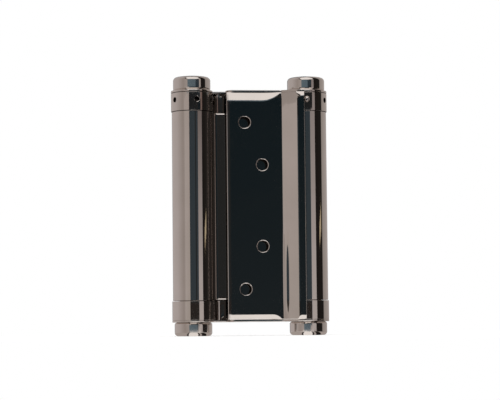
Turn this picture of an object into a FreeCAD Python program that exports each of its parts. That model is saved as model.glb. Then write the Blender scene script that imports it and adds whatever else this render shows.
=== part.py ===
import FreeCAD, Part
import math
import os
import Sketcher

# Double action cafe hinge
#
# Two barrels stand side by side. One sheet, the centre web, is rolled at both of its
# edges into the two long spring tubes. Each barrel carries a flange: the jamb flange lies
# behind the web on the left barrel, the door flange lies in front of it on the right one.
# The whole is the same when it is turned half a turn about the vertical axis, so every
# barrel piece is made once about its own axis and then placed on the door or jamb side.
#
# Frame: +Z up along the barrels, +X from the jamb barrel to the door barrel, -Y to the
# front. The origin is the middle of the hinge.

# Driving sizes, in millimetres and degrees
SIZES = (
    ("barrel_spacing", 63.4, "distance between the two barrel axes"),
    ("flange_height", 127.0, "height of a flange over its two end plates"),
    ("flange_thickness", 2.0, "sheet of a flange"),
    ("flange_face_depth", 6.9, "outer face of a flange to the plane of the axes"),
    ("flange_edge_gap", 18.4, "free edge of a flange to the other barrel's axis"),
    ("flange_ramp_angle", 32.0, "plane ramp that runs out from the flat to the barrel"),
    ("flange_bend_radius", 2.5, "hollow bend between the flat and the ramp"),
    ("flange_cut_angle", 11.8, "cut edge of a flange, short of the barrel's front line"),
    ("flange_clearance", 0.25, "between a collar and the sheet that hugs it"),
    ("margin_height", 4.4, "rolled margin at each end of a flange's face"),
    ("margin_depth", 0.7, "how far the rolled margin falls back"),
    ("plate_thickness", 1.2, "end plate of a flange"),
    ("plate_back_edge", 1.0, "back edge of the end plate's arm to the plane of the axes"),
    ("plate_corner_radius", 4.5, "front corner of the end plate at the free edge"),
    ("corner_fillet", 3.2, "hollow corner between a flange's sheet and its end plates"),
    ("screw_hole_diameter", 6.3, "through hole for a flange screw"),
    ("screw_sink_diameter", 8.4, "countersink, on the side of the web"),
    ("screw_hole_break", 0.5, "edge break of a screw hole on the flange's face"),
    ("outer_screw_spacing", 91.5, "height between the two outer screws"),
    ("inner_screw_spacing", 44.7, "height between the two inner screws"),
    ("screw_edge_distance", 9.9, "outer screws to the flange's free edge"),
    ("screw_stagger", 9.6, "inner screws, further from the free edge"),
    ("tube_diameter", 22.1, "outside of a spring tube"),
    ("web_thickness", 1.6, "sheet of the centre web and its tubes"),
    ("web_bend_radius", 3.2, "hollow bend between the web and a tube"),
    ("seam_gap", 0.4, "slit between a tube's rolled edge and the web"),
    ("collar_step", 0.4, "collars and end plate rings, beyond the tubes"),
    ("collar_edge_break", 0.25, "outer edges of the collars"),
    ("collar_height", 10.0, "tension collar over its visible band"),
    ("spigot_length", 6.0, "part of the tension collar inside the tube"),
    ("capstan_hole_diameter", 2.9, "radial holes of the tension collar"),
    ("capstan_hole_depth", 3.5, "radial holes of the tension collar"),
    ("capstan_hole_drop", 5.4, "holes below the flange's upper end"),
    ("capstan_turn_2", 62.0, "second hole from the pin's hole"),
    ("capstan_turn_3", 124.5, "third hole from the pin's hole"),
    ("capstan_turn_4", 194.6, "fourth hole from the pin's hole"),
    ("capstan_turn_5", 250.0, "fifth hole from the pin's hole"),
    ("capstan_turn_6", 305.0, "sixth hole from the pin's hole"),
    ("pin_diameter", 2.8, "stop pin"),
    ("pin_reach", 1.9, "stop pin outside the collar"),
    ("cap_diameter", 20.5, "cap nut"),
    ("cap_height", 7.5, "cap nut"),
    ("cap_edge_radius", 2.0, "outer edge of a cap nut"),
    ("cap_base_chamfer", 1.2, "edge of a cap nut at the end plate"),
    ("cap_bore_depth", 5.6, "threaded hole in a cap nut"),
    ("spindle_diameter", 7.0, "spindle between its shoulders"),
    ("thread_diameter", 6.0, "threaded ends of the spindle"),
    ("thread_length", 6.2, "spindle beyond its shoulders"),
    ("washer_diameter", 14.8, "thrust washers"),
    ("washer_thickness", 1.0, "thrust washers"),
    ("plug_height", 8.0, "spring anchor in the foot of a tube"),
    ("wire_diameter", 2.6, "spring wire"),
    ("spring_diameter", 13.6, "spring, across the middle of its wire"),
    ("leg_length", 3.0, "ends of the spring inside their sockets"),
    ("end_gap", 0.3, "running gap between pieces that turn on each other"),
    ("shaft_clearance", 0.08, "radial clearance of a piece that turns on its spindle"),
    ("seat_clearance", 0.04, "radial clearance of a piece fixed on its seat"),
    ("socket_clearance", 0.2, "round the spring's ends"),
)

# Sizes worked out from the driving ones
WORKED = (
    ("half_spacing", "Sizes.barrel_spacing / 2"),
    ("plate_top", "Sizes.flange_height / 2"),
    ("plate_under", "Sizes.flange_height / 2 - Sizes.plate_thickness"),
    ("collar_top", "Worked.plate_under - Sizes.end_gap"),
    ("collar_bottom", "Worked.collar_top - Sizes.collar_height"),
    ("web_half_height", "Worked.collar_bottom - Sizes.end_gap"),
    ("tube_outer", "Sizes.tube_diameter / 2"),
    ("tube_inner", "Worked.tube_outer - Sizes.web_thickness"),
    ("collar_radius", "Worked.tube_outer + Sizes.collar_step"),
    ("hug_inner", "Worked.collar_radius + Sizes.flange_clearance"),
    ("hug_outer", "Worked.hug_inner + Sizes.flange_thickness"),
    ("flat_inner_depth", "Sizes.flange_face_depth - Sizes.flange_thickness"),
    ("free_edge", "Sizes.barrel_spacing - Sizes.flange_edge_gap"),
    ("ramp_sine", "sin(Sizes.flange_ramp_angle)"),
    ("ramp_cosine", "cos(Sizes.flange_ramp_angle)"),
    ("ramp_run",
     "(Worked.hug_outer * Worked.ramp_cosine - Sizes.flange_face_depth) / Worked.ramp_sine"),
    ("knee_offset",
     "Worked.hug_outer * Worked.ramp_sine + Worked.ramp_run * Worked.ramp_cosine"),
    ("knee_reach", "Sizes.flange_bend_radius * tan(Sizes.flange_ramp_angle / 2)"),
    ("bend_offset", "Worked.knee_offset + Worked.knee_reach"),
    ("bend_drop", "Sizes.flange_face_depth + Sizes.flange_bend_radius"),
    ("margin_radius",
     "(Sizes.margin_height ^ 2 + Sizes.margin_depth ^ 2) / (2 * Sizes.margin_depth)"),
    ("cut_sine", "sin(Sizes.flange_cut_angle)"),
    ("cut_cosine", "cos(Sizes.flange_cut_angle)"),
    ("half_web", "Sizes.web_thickness / 2"),
    ("throat_drop", "Worked.half_web + Sizes.web_bend_radius"),
    ("throat_reach", "Worked.tube_outer + Sizes.web_bend_radius"),
    ("throat_offset", "sqrt(Worked.throat_reach ^ 2 - Worked.throat_drop ^ 2)"),
    ("throat_back", "Sizes.web_bend_radius + Sizes.web_thickness"),
    ("seam_reach", "Worked.throat_back + Sizes.seam_gap"),
    ("spindle_radius", "Sizes.spindle_diameter / 2"),
    ("running_bore", "Worked.spindle_radius + Sizes.shaft_clearance"),
    ("thread_bore", "Sizes.thread_diameter / 2 + Sizes.seat_clearance"),
    ("spigot_radius", "Worked.tube_inner - Sizes.shaft_clearance"),
    ("spigot_foot", "Worked.web_half_height - Sizes.spigot_length"),
    ("plug_radius", "Worked.tube_inner - Sizes.seat_clearance"),
    ("plug_top", "Sizes.plug_height - Worked.web_half_height"),
    ("washer_radius", "Sizes.washer_diameter / 2"),
    ("washer_seat", "Worked.washer_radius + Sizes.shaft_clearance"),
    ("top_washer_foot", "Worked.plate_under - Sizes.end_gap / 3 - Sizes.washer_thickness"),
    ("low_washer_top", "-Worked.web_half_height - Sizes.end_gap / 3"),
    ("cap_radius", "Sizes.cap_diameter / 2"),
    ("cap_top", "Worked.plate_top + Sizes.cap_height"),
    ("hole_level", "Worked.plate_top - Sizes.capstan_hole_drop"),
    ("spring_foot", "Worked.plug_top + Sizes.end_gap"),
    ("spring_top", "Worked.spigot_foot - Sizes.end_gap"),
    ("socket_radius", "Sizes.wire_diameter / 2 + Sizes.socket_clearance"),
)

# Where the top end of a spring stands about its barrel, and where the bottom end does
SPRING_TOP_TURN = "(360 * (Worked.spring_top - Worked.spring_foot) / Sizes.wire_diameter)"
SPRING_FOOT_TURN = "0"

document = FreeCAD.newDocument("cafe_hinge")
sizes = document.addObject("Spreadsheet::Sheet", "Sizes")
worked = document.addObject("Spreadsheet::Sheet", "Worked")


def fill_sheets():
    """Write the driving sizes as plain numbers and the worked ones as formulas."""
    for row, (alias, value, note) in enumerate(SIZES, start=1):
        sizes.set(f"A{row}", note)
        sizes.set(f"B{row}", str(value))
        sizes.setAlias(f"B{row}", alias)
    document.recompute()
    for row, (alias, formula) in enumerate(WORKED, start=1):
        worked.set(f"A{row}", alias.replace("_", " "))
        worked.set(f"B{row}", "=" + formula.replace("Worked.", ""))
        worked.setAlias(f"B{row}", alias)
        document.recompute()


def number(holder, formula):
    """Value of a formula as a plain number."""
    value = holder.evalExpression(formula)
    return float(getattr(value, "Value", value))


def plane_of(body, role):
    """Origin plane or axis of a body, found by its role."""
    for feature in body.Origin.OriginFeatures:
        if feature.Role == role:
            return feature
    raise ValueError(role)


def new_body(label):
    body = document.addObject("PartDesign::Body", label)
    body.Label = label
    return body


def new_sketch(body, name, role, height=None):
    """Empty sketch on an origin plane, lifted off it by a formula if one is given."""
    sketch = body.newObject("Sketcher::SketchObject", name)
    sketch.AttachmentSupport = [(plane_of(body, role), "")]
    sketch.MapMode = "FlatFace"
    if height is not None:
        sketch.setExpression("AttachmentOffset.Base.z", height)
    document.recompute()
    return sketch


def hold_point(sketch, geometry, position, across, up):
    """Tie a point of a sketch to two formulas, or to an axis where one is plainly zero."""
    for kind, formula, axis in (("DistanceX", across, -2), ("DistanceY", up, -1)):
        if formula == "0":
            sketch.addConstraint(
                Sketcher.Constraint("PointOnObject", geometry, position, axis))
            continue
        index = sketch.addConstraint(
            Sketcher.Constraint(kind, geometry, position, number(sketch, formula)))
        sketch.setExpression(f"Constraints[{index}]", formula)


def outline(sketch, steps, closed=True):
    """Draw a run of lines and arcs whose corners are tied to formulas.

    A step is (across, up) for a straight run to that corner, or
    (across, up, centre across, centre up, radius, turn) for an arc, turn being 1 when it
    goes anticlockwise.
    """
    corners = [(step[0], step[1]) for step in steps]
    places = [FreeCAD.Vector(number(sketch, x), number(sketch, y), 0) for x, y in corners]
    first = 0 if closed else 1
    ends = []
    for place in range(first, len(steps)):
        start, stop = places[place - 1], places[place]
        step = steps[place]
        if len(step) == 2:
            geometry = sketch.addGeometry(Part.LineSegment(start, stop), False)
            ends.append((geometry, 1, 2))
        else:
            centre = FreeCAD.Vector(number(sketch, step[2]), number(sketch, step[3]), 0)
            radius = number(sketch, step[4])
            low, high = (start, stop) if step[5] > 0 else (stop, start)
            angles = [math.atan2(p.y - centre.y, p.x - centre.x) for p in (low, high)]
            if angles[1] <= angles[0]:
                angles[1] += 2 * math.pi
            circle = Part.Circle(centre, FreeCAD.Vector(0, 0, 1), radius)
            geometry = sketch.addGeometry(Part.ArcOfCircle(circle, *angles), False)
            index = sketch.addConstraint(Sketcher.Constraint("Radius", geometry, radius))
            sketch.setExpression(f"Constraints[{index}]", step[4])
            ends.append((geometry, 1, 2) if step[5] > 0 else (geometry, 2, 1))
    for place, (geometry, start, stop) in enumerate(ends):
        corner = corners[place - 1 + first]
        hold_point(sketch, geometry, start, *corner)
        follower = place + 1
        if follower < len(ends):
            sketch.addConstraint(Sketcher.Constraint(
                "Coincident", geometry, stop, ends[follower][0], ends[follower][1]))
        elif closed:
            sketch.addConstraint(Sketcher.Constraint(
                "Coincident", geometry, stop, ends[0][0], ends[0][1]))
        else:
            hold_point(sketch, geometry, stop, *corners[-1])


def circle_at(sketch, across, up, radius):
    """Circle in a sketch, its centre and radius tied to formulas."""
    centre = FreeCAD.Vector(number(sketch, across), number(sketch, up), 0)
    start = number(sketch, radius)
    geometry = sketch.addGeometry(
        Part.Circle(centre, FreeCAD.Vector(0, 0, 1), start), False)
    hold_point(sketch, geometry, 3, across, up)
    index = sketch.addConstraint(Sketcher.Constraint("Radius", geometry, start))
    sketch.setExpression(f"Constraints[{index}]", radius)


def turned(label, steps):
    """Body turned about the vertical axis from a half section (radius, height)."""
    body = new_body(label)
    sketch = new_sketch(body, label + "_section", "XZ_Plane")
    outline(sketch, steps)
    turn = body.newObject("PartDesign::Revolution", label + "_turn")
    turn.Profile = sketch
    turn.ReferenceAxis = (sketch, ["V_Axis"])
    turn.Angle = 360.0
    document.recompute()
    return body


def pad_between(body, name, steps, foot, height, holes=()):
    """Pad of an outline with round holes, from a level up by a height."""
    sketch = new_sketch(body, name + "_outline", "XY_Plane", foot)
    outline(sketch, steps)
    for hole in holes:
        circle_at(sketch, *hole)
    pad = body.newObject("PartDesign::Pad", name)
    pad.Profile = sketch
    pad.setExpression("Length", height)
    document.recompute()
    return pad


def place_on(piece, side):
    """Put a piece, made about its own barrel's axis, on the door or the jamb side."""
    if side == "door":
        piece.setExpression("Placement.Base.x", "Worked.half_spacing")
    else:
        half_turn = FreeCAD.Rotation(FreeCAD.Vector(0, 0, 1), 180)
        piece.Placement = FreeCAD.Placement(FreeCAD.Vector(0, 0, 0), half_turn)
        piece.setExpression("Placement.Base.x", "-Worked.half_spacing")
    pieces.append(piece)


pieces = []
fill_sheets()


# Centre web with its two rolled tubes
def make_web():
    """One sheet: flat between the axes, rolled to a tube at each edge.

    The left tube leaves the web by a bend on the front side and comes round to a slit
    behind the web. The right tube is the same, half a turn about.
    """
    body = new_body("centre_web")
    sketch = new_sketch(body, "web_section", "XY_Plane")
    seam_turn = ("(acos((Worked.throat_reach ^ 2 + Worked.tube_outer ^ 2"
                 " - Worked.seam_reach ^ 2)"
                 " / (2 * Worked.throat_reach * Worked.tube_outer))"
                 " - asin(Worked.throat_drop / Worked.throat_reach))")
    axis = "Worked.half_spacing"
    bend_x = f"({axis} - Worked.throat_offset)"
    lean_x = "Worked.throat_offset / Worked.throat_reach"
    lean_y = "Worked.throat_drop / Worked.throat_reach"

    def side_steps(sign):
        """Outline round one tube, sign -1 for the left one and 1 for the right one."""
        flip = "-1 * " if sign < 0 else ""
        turned_over = "" if sign < 0 else "-1 * "
        centre_x = f"{flip}{axis}"
        throat_x = f"{flip}{bend_x}"
        throat_y = f"{turned_over}(-Worked.throat_drop)"
        return [
            (f"{flip}({axis} - Worked.tube_outer * {lean_x})",
             f"{turned_over}(-Worked.tube_outer * {lean_y})",
             throat_x, throat_y, "Sizes.web_bend_radius", 1),
            (f"{flip}({axis} - Worked.tube_outer * cos({seam_turn}))",
             f"{turned_over}(Worked.tube_outer * sin({seam_turn}))",
             centre_x, "0", "Worked.tube_outer", -1),
            (f"{flip}({axis} - Worked.tube_inner * cos({seam_turn}))",
             f"{turned_over}(Worked.tube_inner * sin({seam_turn}))"),
            (f"{flip}({axis} - Worked.tube_inner * {lean_x})",
             f"{turned_over}(-Worked.tube_inner * {lean_y})",
             centre_x, "0", "Worked.tube_inner", 1),
            (throat_x, f"{turned_over}(Worked.half_web)",
             throat_x, throat_y, "Worked.throat_back", -1),
        ]

    front_left = ("-1 * " + bend_x, "-Worked.half_web")
    back_right = (bend_x, "Worked.half_web")
    steps = [front_left] + side_steps(-1) + [back_right] + side_steps(1)
    outline(sketch, steps)
    pad = body.newObject("PartDesign::Pad", "web_height")
    pad.Profile = sketch
    pad.setExpression("Length", "2 * Worked.web_half_height")
    pad.SideType = "Symmetric"
    document.recompute()
    pieces.append(body)


# Flanges
def flange_plan():
    """Formulas that the sheet and the end plates of a flange share."""
    face = "-Sizes.flange_face_depth"
    bend = ("-Worked.bend_offset", "-Worked.bend_drop", "Sizes.flange_bend_radius", -1)
    hug = ("0", "0", "Worked.hug_outer", 1)
    return {
        "face": face,
        "free": "-Worked.free_edge",
        "bend_start": ("-Worked.bend_offset", face),
        "ramp_start": ("Worked.knee_reach * Worked.ramp_cosine - Worked.knee_offset",
                       f"{face} - Worked.knee_reach * Worked.ramp_sine", *bend),
        "hug_start": ("-Worked.hug_outer * Worked.ramp_sine",
                      "-Worked.hug_outer * Worked.ramp_cosine"),
        "cut": ("-Worked.hug_outer * Worked.cut_sine",
                "-Worked.hug_outer * Worked.cut_cosine", *hug),
    }


def flange_sheet(body, plan):
    """Sweep the sheet's upright section along the flange's outer face."""
    path = new_sketch(body, "face_line", "XY_Plane")
    outline(path, [(plan["free"], plan["face"]), plan["bend_start"], plan["ramp_start"],
                   plan["hug_start"], plan["cut"]], closed=False)
    section = new_sketch(body, "sheet_section", "YZ_Plane", "-Worked.free_edge")
    inner = "-Worked.flat_inner_depth"
    rolled = "Sizes.margin_depth - Sizes.flange_face_depth"
    flat_top = "(Worked.plate_under - Sizes.margin_height)"
    roll_centre = "Worked.margin_radius - Sizes.flange_face_depth"
    outline(section, [
        (inner, "-Worked.plate_under"),
        (inner, "Worked.plate_under"),
        (rolled, "Worked.plate_under"),
        (plan["face"], flat_top, roll_centre, flat_top, "Worked.margin_radius", 1),
        (plan["face"], f"-{flat_top}"),
        (rolled, "-Worked.plate_under", roll_centre, f"-{flat_top}",
         "Worked.margin_radius", 1),
    ])
    sheet = body.newObject("PartDesign::AdditivePipe", "sheet")
    sheet.Profile = section
    sheet.Spine = path
    document.recompute()


def flange_plates(body, plan):
    """End plates: a ring over the barrel and an arm along the top of the sheet."""
    back = "-Sizes.plate_back_edge"
    corner = "Sizes.plate_corner_radius"
    corner_y = f"{corner} - Sizes.flange_face_depth"
    corner_x = f"{corner} - Worked.free_edge"
    ring = "Worked.collar_radius"
    steps = [
        (corner_x, plan["face"], corner_x, corner_y, corner, 1),
        plan["bend_start"],
        plan["ramp_start"],
        plan["hug_start"],
        plan["cut"],
        (f"-{ring} * Worked.cut_sine", f"-{ring} * Worked.cut_cosine"),
        (f"-sqrt({ring} ^ 2 - Sizes.plate_back_edge ^ 2)", back, "0", "0", ring, 1),
        (plan["free"], back),
        (plan["free"], corner_y),
    ]
    plate = pad_between(body, "upper_plate", steps, "Worked.plate_under",
                        "Sizes.plate_thickness", [("0", "0", "Worked.thread_bore")])
    mirror = body.newObject("PartDesign::Mirrored", "lower_plate")
    mirror.Originals = [plate]
    mirror.MirrorPlane = (plane_of(body, "XY_Plane"), [""])
    body.Tip = mirror
    document.recompute()


def flange_corners(body):
    """Hollow corners between the sheet and the arms of the end plates."""
    sketch = new_sketch(body, "corner_section", "YZ_Plane", "-Worked.free_edge")
    inner = "-Worked.flat_inner_depth"
    under = "Worked.plate_under"
    fillet = "Sizes.corner_fillet"
    outline(sketch, [
        (inner, under),
        (inner, f"{under} - {fillet}"),
        (f"{fillet} - Worked.flat_inner_depth", under,
         f"{fillet} - Worked.flat_inner_depth", f"{under} - {fillet}", fillet, -1),
    ])
    corner = body.newObject("PartDesign::Pad", "upper_corner")
    corner.Profile = sketch
    corner.setExpression("Length", "Worked.free_edge - Worked.bend_offset")
    document.recompute()
    mirror = body.newObject("PartDesign::Mirrored", "lower_corner")
    mirror.Originals = [corner]
    mirror.MirrorPlane = (plane_of(body, "XY_Plane"), [""])
    body.Tip = mirror
    document.recompute()


def flange_holes(body):
    """Four screw holes, two near the free edge and two nearer the barrel.

    The wood lies on the flange's face, so they are countersunk on the other side.
    """
    across = "Sizes.screw_edge_distance - Worked.free_edge"
    inner_across = f"{across} + Sizes.screw_stagger"
    places = (
        (across, "Sizes.outer_screw_spacing / 2"),
        (inner_across, "Sizes.inner_screw_spacing / 2"),
        (inner_across, "-Sizes.inner_screw_spacing / 2"),
        (across, "-Sizes.outer_screw_spacing / 2"),
    )
    sketch = new_sketch(body, "screw_places", "XZ_Plane", "Worked.flat_inner_depth")
    for across_place, level in places:
        circle_at(sketch, across_place, level, "Sizes.screw_hole_diameter / 2")
    hole = body.newObject("PartDesign::Hole", "screw_holes")
    hole.Profile = sketch
    document.recompute()
    hole.Reversed = True
    hole.ThreadType = 0
    hole.DepthType = 1
    hole.setExpression("Diameter", "Sizes.screw_hole_diameter")
    hole.HoleCutType = 2
    hole.HoleCutCustomValues = True
    hole.setExpression("HoleCutDiameter", "Sizes.screw_sink_diameter")
    hole.HoleCutCountersinkAngle = 90.0
    document.recompute()
    edge_break = body.newObject("PartDesign::Chamfer", "screw_hole_edges")
    edge_break.Base = (hole, face_circles(hole.Shape))
    edge_break.setExpression("Size", "Sizes.screw_hole_break")
    document.recompute()
    body.Tip = edge_break


def face_circles(shape):
    """Names of the screw holes' edges on the flange's outer face."""
    depth = -number(sizes, "Sizes.flange_face_depth")
    radius = number(sizes, "Sizes.screw_hole_diameter / 2")
    names = []
    for place, edge in enumerate(shape.Edges, start=1):
        curve = edge.Curve
        if not isinstance(curve, Part.Circle) or abs(curve.Radius - radius) > 1e-6:
            continue
        if abs(curve.Center.y - depth) < 1e-6:
            names.append(f"Edge{place}")
    return names


def make_flange(side):
    body = new_body(f"{side}_flange")
    plan = flange_plan()
    flange_sheet(body, plan)
    flange_plates(body, plan)
    flange_corners(body)
    flange_holes(body)
    place_on(body, side)


# Spindle and its cap nuts
def make_spindle(side):
    shoulder = "Worked.plate_under"
    end = "(Worked.plate_under + Sizes.thread_length)"
    thread = "Sizes.thread_diameter / 2"
    body = turned(f"{side}_spindle", [
        ("0", f"-{end}"),
        (thread, f"-{end}"),
        (thread, f"-{shoulder}"),
        ("Worked.spindle_radius", f"-{shoulder}"),
        ("Worked.spindle_radius", shoulder),
        (thread, shoulder),
        (thread, end),
        ("0", end),
    ])
    place_on(body, side)


def make_cap(side, end):
    """Cap nut: a rounded drum with a blind hole for the spindle's thread."""
    flip = "" if end == "top" else "-1 * "
    turn = 1 if end == "top" else -1
    base = "Worked.plate_top"
    top = "Worked.cap_top"
    radius = "Worked.cap_radius"
    edge = "Sizes.cap_edge_radius"
    foot = "Sizes.cap_base_chamfer"
    bore_end = f"({base} + Sizes.cap_bore_depth)"
    body = turned(f"{side}_{end}_cap", [
        ("0", f"{flip}{bore_end}"),
        ("Worked.thread_bore", f"{flip}{bore_end}"),
        ("Worked.thread_bore", f"{flip}{base}"),
        (f"{radius} - {foot}", f"{flip}{base}"),
        (radius, f"{flip}({base} + {foot})"),
        (radius, f"{flip}({top} - {edge})"),
        (f"{radius} - {edge}", f"{flip}{top}",
         f"{radius} - {edge}", f"{flip}({top} - {edge})", edge, turn),
        ("0", f"{flip}{top}"),
    ])
    place_on(body, side)


# Collars
def bored(label, base, tools, side):
    """Cut tools, all made about the barrel's own axis, out of a turned body."""
    joined = tools[0]
    if len(tools) > 1:
        joined = document.addObject("Part::MultiFuse", label + "_tools")
        joined.Shapes = tools
    cut = document.addObject("Part::Cut", label)
    cut.Label = label
    cut.Base = base
    cut.Tool = joined
    document.recompute()
    place_on(cut, side)


def socket_tool(label, level, angle):
    """Upright cylinder that makes the socket for one end of the spring."""
    tool = document.addObject("Part::Cylinder", label)
    tool.setExpression("Radius", "Worked.socket_radius")
    tool.setExpression("Height", "Sizes.leg_length + 2 * Sizes.end_gap")
    tool.setExpression("Placement.Base.x", f"Sizes.spring_diameter / 2 * cos({angle})")
    tool.setExpression("Placement.Base.y", f"Sizes.spring_diameter / 2 * sin({angle})")
    tool.setExpression("Placement.Base.z", level)
    return tool


def pin_turn():
    """Direction of the stop pin about its barrel, just clear of the flange's cut edge."""
    edge = 270 - number(sizes, "Sizes.flange_cut_angle")
    reach = number(worked, "Worked.collar_radius + Sizes.pin_reach / 2")
    aside = number(sizes, "Sizes.pin_diameter / 2 + Sizes.seat_clearance")
    return edge + math.degrees(math.asin(aside / reach))


def radial_placement(angle, reach, level):
    """Local Z laid outwards along a direction about the barrel's axis."""
    outward = FreeCAD.Vector(math.cos(math.radians(angle)), math.sin(math.radians(angle)), 0)
    turn = FreeCAD.Rotation(FreeCAD.Vector(0, 0, 1), outward)
    return FreeCAD.Placement(outward * reach + FreeCAD.Vector(0, 0, level), turn)


def collar_rim(foot, top):
    """Outer side of a collar's section, with its two edges broken."""
    edge = "Worked.collar_radius - Sizes.collar_edge_break"
    return [
        (edge, foot),
        ("Worked.collar_radius", f"{foot} + Sizes.collar_edge_break"),
        ("Worked.collar_radius", f"{top} - Sizes.collar_edge_break"),
        (edge, top),
    ]


def make_tension_collar(side):
    """Collar that winds the spring, with a spigot in the tube and six capstan holes."""
    label = f"{side}_tension_collar"
    body = turned(label + "_blank", [
        ("Worked.running_bore", "Worked.spigot_foot"),
        ("Worked.spigot_radius", "Worked.spigot_foot"),
        ("Worked.spigot_radius", "Worked.collar_bottom"),
        *collar_rim("Worked.collar_bottom", "Worked.collar_top"),
        ("Worked.washer_seat", "Worked.collar_top"),
        ("Worked.washer_seat", "Worked.top_washer_foot"),
        ("Worked.running_bore", "Worked.top_washer_foot"),
    ])
    turns = [0.0] + [number(sizes, f"Sizes.capstan_turn_{hole}") for hole in range(2, 7)]
    reach = number(worked, "Worked.collar_radius - Sizes.capstan_hole_depth")
    level = number(worked, "Worked.hole_level")
    tools = []
    for hole, turn in enumerate(turns, start=1):
        tool = document.addObject("Part::Cylinder", f"{label}_hole_{hole}")
        tool.setExpression("Radius", "Sizes.capstan_hole_diameter / 2")
        tool.setExpression("Height", "Sizes.capstan_hole_depth * 2")
        tool.Placement = radial_placement(pin_turn() + turn, reach, level)
        tools.append(tool)
    tools.append(socket_tool(label + "_socket", "Worked.spigot_foot - Sizes.end_gap",
                             SPRING_TOP_TURN))
    bored(label, body, tools, side)


def make_stop_pin(side):
    """Round-ended pin in the first capstan hole, leaning on the flange's cut edge."""
    radius = "Sizes.pin_diameter / 2"
    foot = "Worked.collar_radius - Sizes.capstan_hole_depth + Sizes.seat_clearance"
    end = "Worked.collar_radius + Sizes.pin_reach"
    body = turned(f"{side}_stop_pin", [
        ("0", foot),
        (radius, foot),
        (radius, f"{end} - {radius}"),
        ("0", end, "0", f"{end} - {radius}", radius, 1),
    ])
    turn = pin_turn() + (180 if side == "jamb" else 0)
    body.Placement = radial_placement(turn, 0, 0)
    sign = "" if side == "door" else "-"
    body.setExpression("Placement.Base.x", f"{sign}Worked.half_spacing")
    body.setExpression("Placement.Base.z", "Worked.hole_level")
    pieces.append(body)


def make_fixed_collar(side):
    """Plain collar on the lower end plate, with a seat for the washer under the tube."""
    body = turned(f"{side}_fixed_collar", [
        ("Worked.running_bore", "-Worked.plate_under"),
        *collar_rim("-Worked.plate_under", "-Worked.collar_bottom"),
        ("Worked.washer_seat", "-Worked.collar_bottom"),
        ("Worked.washer_seat", "Worked.low_washer_top - Sizes.washer_thickness"),
        ("Worked.running_bore", "Worked.low_washer_top - Sizes.washer_thickness"),
    ])
    place_on(body, side)


def make_washer(side, name, foot):
    """Flat ring between two pieces that turn on each other."""
    body = turned(f"{side}_{name}", [
        ("Worked.running_bore", foot),
        ("Worked.washer_radius", foot),
        ("Worked.washer_radius", f"{foot} + Sizes.washer_thickness"),
        ("Worked.running_bore", f"{foot} + Sizes.washer_thickness"),
    ])
    place_on(body, side)


# Spring and its anchor
def make_anchor_plug(side):
    """Drum fixed in the foot of a tube: it turns on the spindle and holds the spring."""
    label = f"{side}_anchor_plug"
    body = turned(label + "_blank", [
        ("Worked.running_bore", "-Worked.web_half_height"),
        ("Worked.plug_radius", "-Worked.web_half_height"),
        ("Worked.plug_radius", "Worked.plug_top"),
        ("Worked.running_bore", "Worked.plug_top"),
    ])
    level = "Worked.plug_top - Sizes.leg_length - Sizes.end_gap"
    bored(label, body, [socket_tool(label + "_socket", level, SPRING_FOOT_TURN)], side)


def make_spring(side):
    """Close coil, kept to the sleeve that its turns fill, with its two straight ends."""
    label = f"{side}_spring"
    inner = "(Sizes.spring_diameter - Sizes.wire_diameter) / 2"
    outer = "(Sizes.spring_diameter + Sizes.wire_diameter) / 2"
    body = turned(label, [
        (inner, "Worked.spring_foot"),
        (outer, "Worked.spring_foot"),
        (outer, "Worked.spring_top"),
        (inner, "Worked.spring_top"),
    ])
    reach = "(Sizes.end_gap + Sizes.leg_length)"
    ends = (
        ("foot_end", SPRING_FOOT_TURN, f"Worked.spring_foot - {reach}"),
        ("top_end", SPRING_TOP_TURN, "Worked.spring_top - Sizes.wire_diameter"),
    )
    for name, turn, level in ends:
        end = body.newObject("PartDesign::AdditiveCylinder", f"{label}_{name}")
        end.setExpression("Radius", "Sizes.wire_diameter / 2")
        end.setExpression("Height", f"{reach} + Sizes.wire_diameter")
        end.setExpression("Placement.Base.x", f"Sizes.spring_diameter / 2 * cos({turn})")
        end.setExpression("Placement.Base.y", f"Sizes.spring_diameter / 2 * sin({turn})")
        end.setExpression("Placement.Base.z", level)
        document.recompute()
    place_on(body, side)


make_web()
for side in ("door", "jamb"):
    make_flange(side)
    make_spindle(side)
    make_cap(side, "top")
    make_cap(side, "bottom")
    make_tension_collar(side)
    make_stop_pin(side)
    make_fixed_collar(side)
    make_washer(side, "top_washer", "Worked.top_washer_foot")
    make_washer(side, "foot_washer", "(Worked.low_washer_top - Sizes.washer_thickness)")
    make_anchor_plug(side)
    make_spring(side)
document.recompute()


def check_model():
    """Stop if an object failed or a piece isn't one good solid."""
    for item in document.Objects:
        if "Invalid" in item.State or "Error" in item.State:
            raise ValueError(f"{item.Label} failed: {item.State}")
    for piece in pieces:
        shape = piece.Shape
        if shape.isNull() or not shape.isValid() or len(shape.Solids) != 1:
            raise ValueError(f"{piece.Label} isn't one valid solid")


check_model()
os.makedirs("parts", exist_ok=True)
for piece in pieces:
    piece.Shape.exportStep(os.path.join("parts", piece.Label + ".step"))
    print(piece.Label, round(piece.Shape.Volume, 1))
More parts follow.
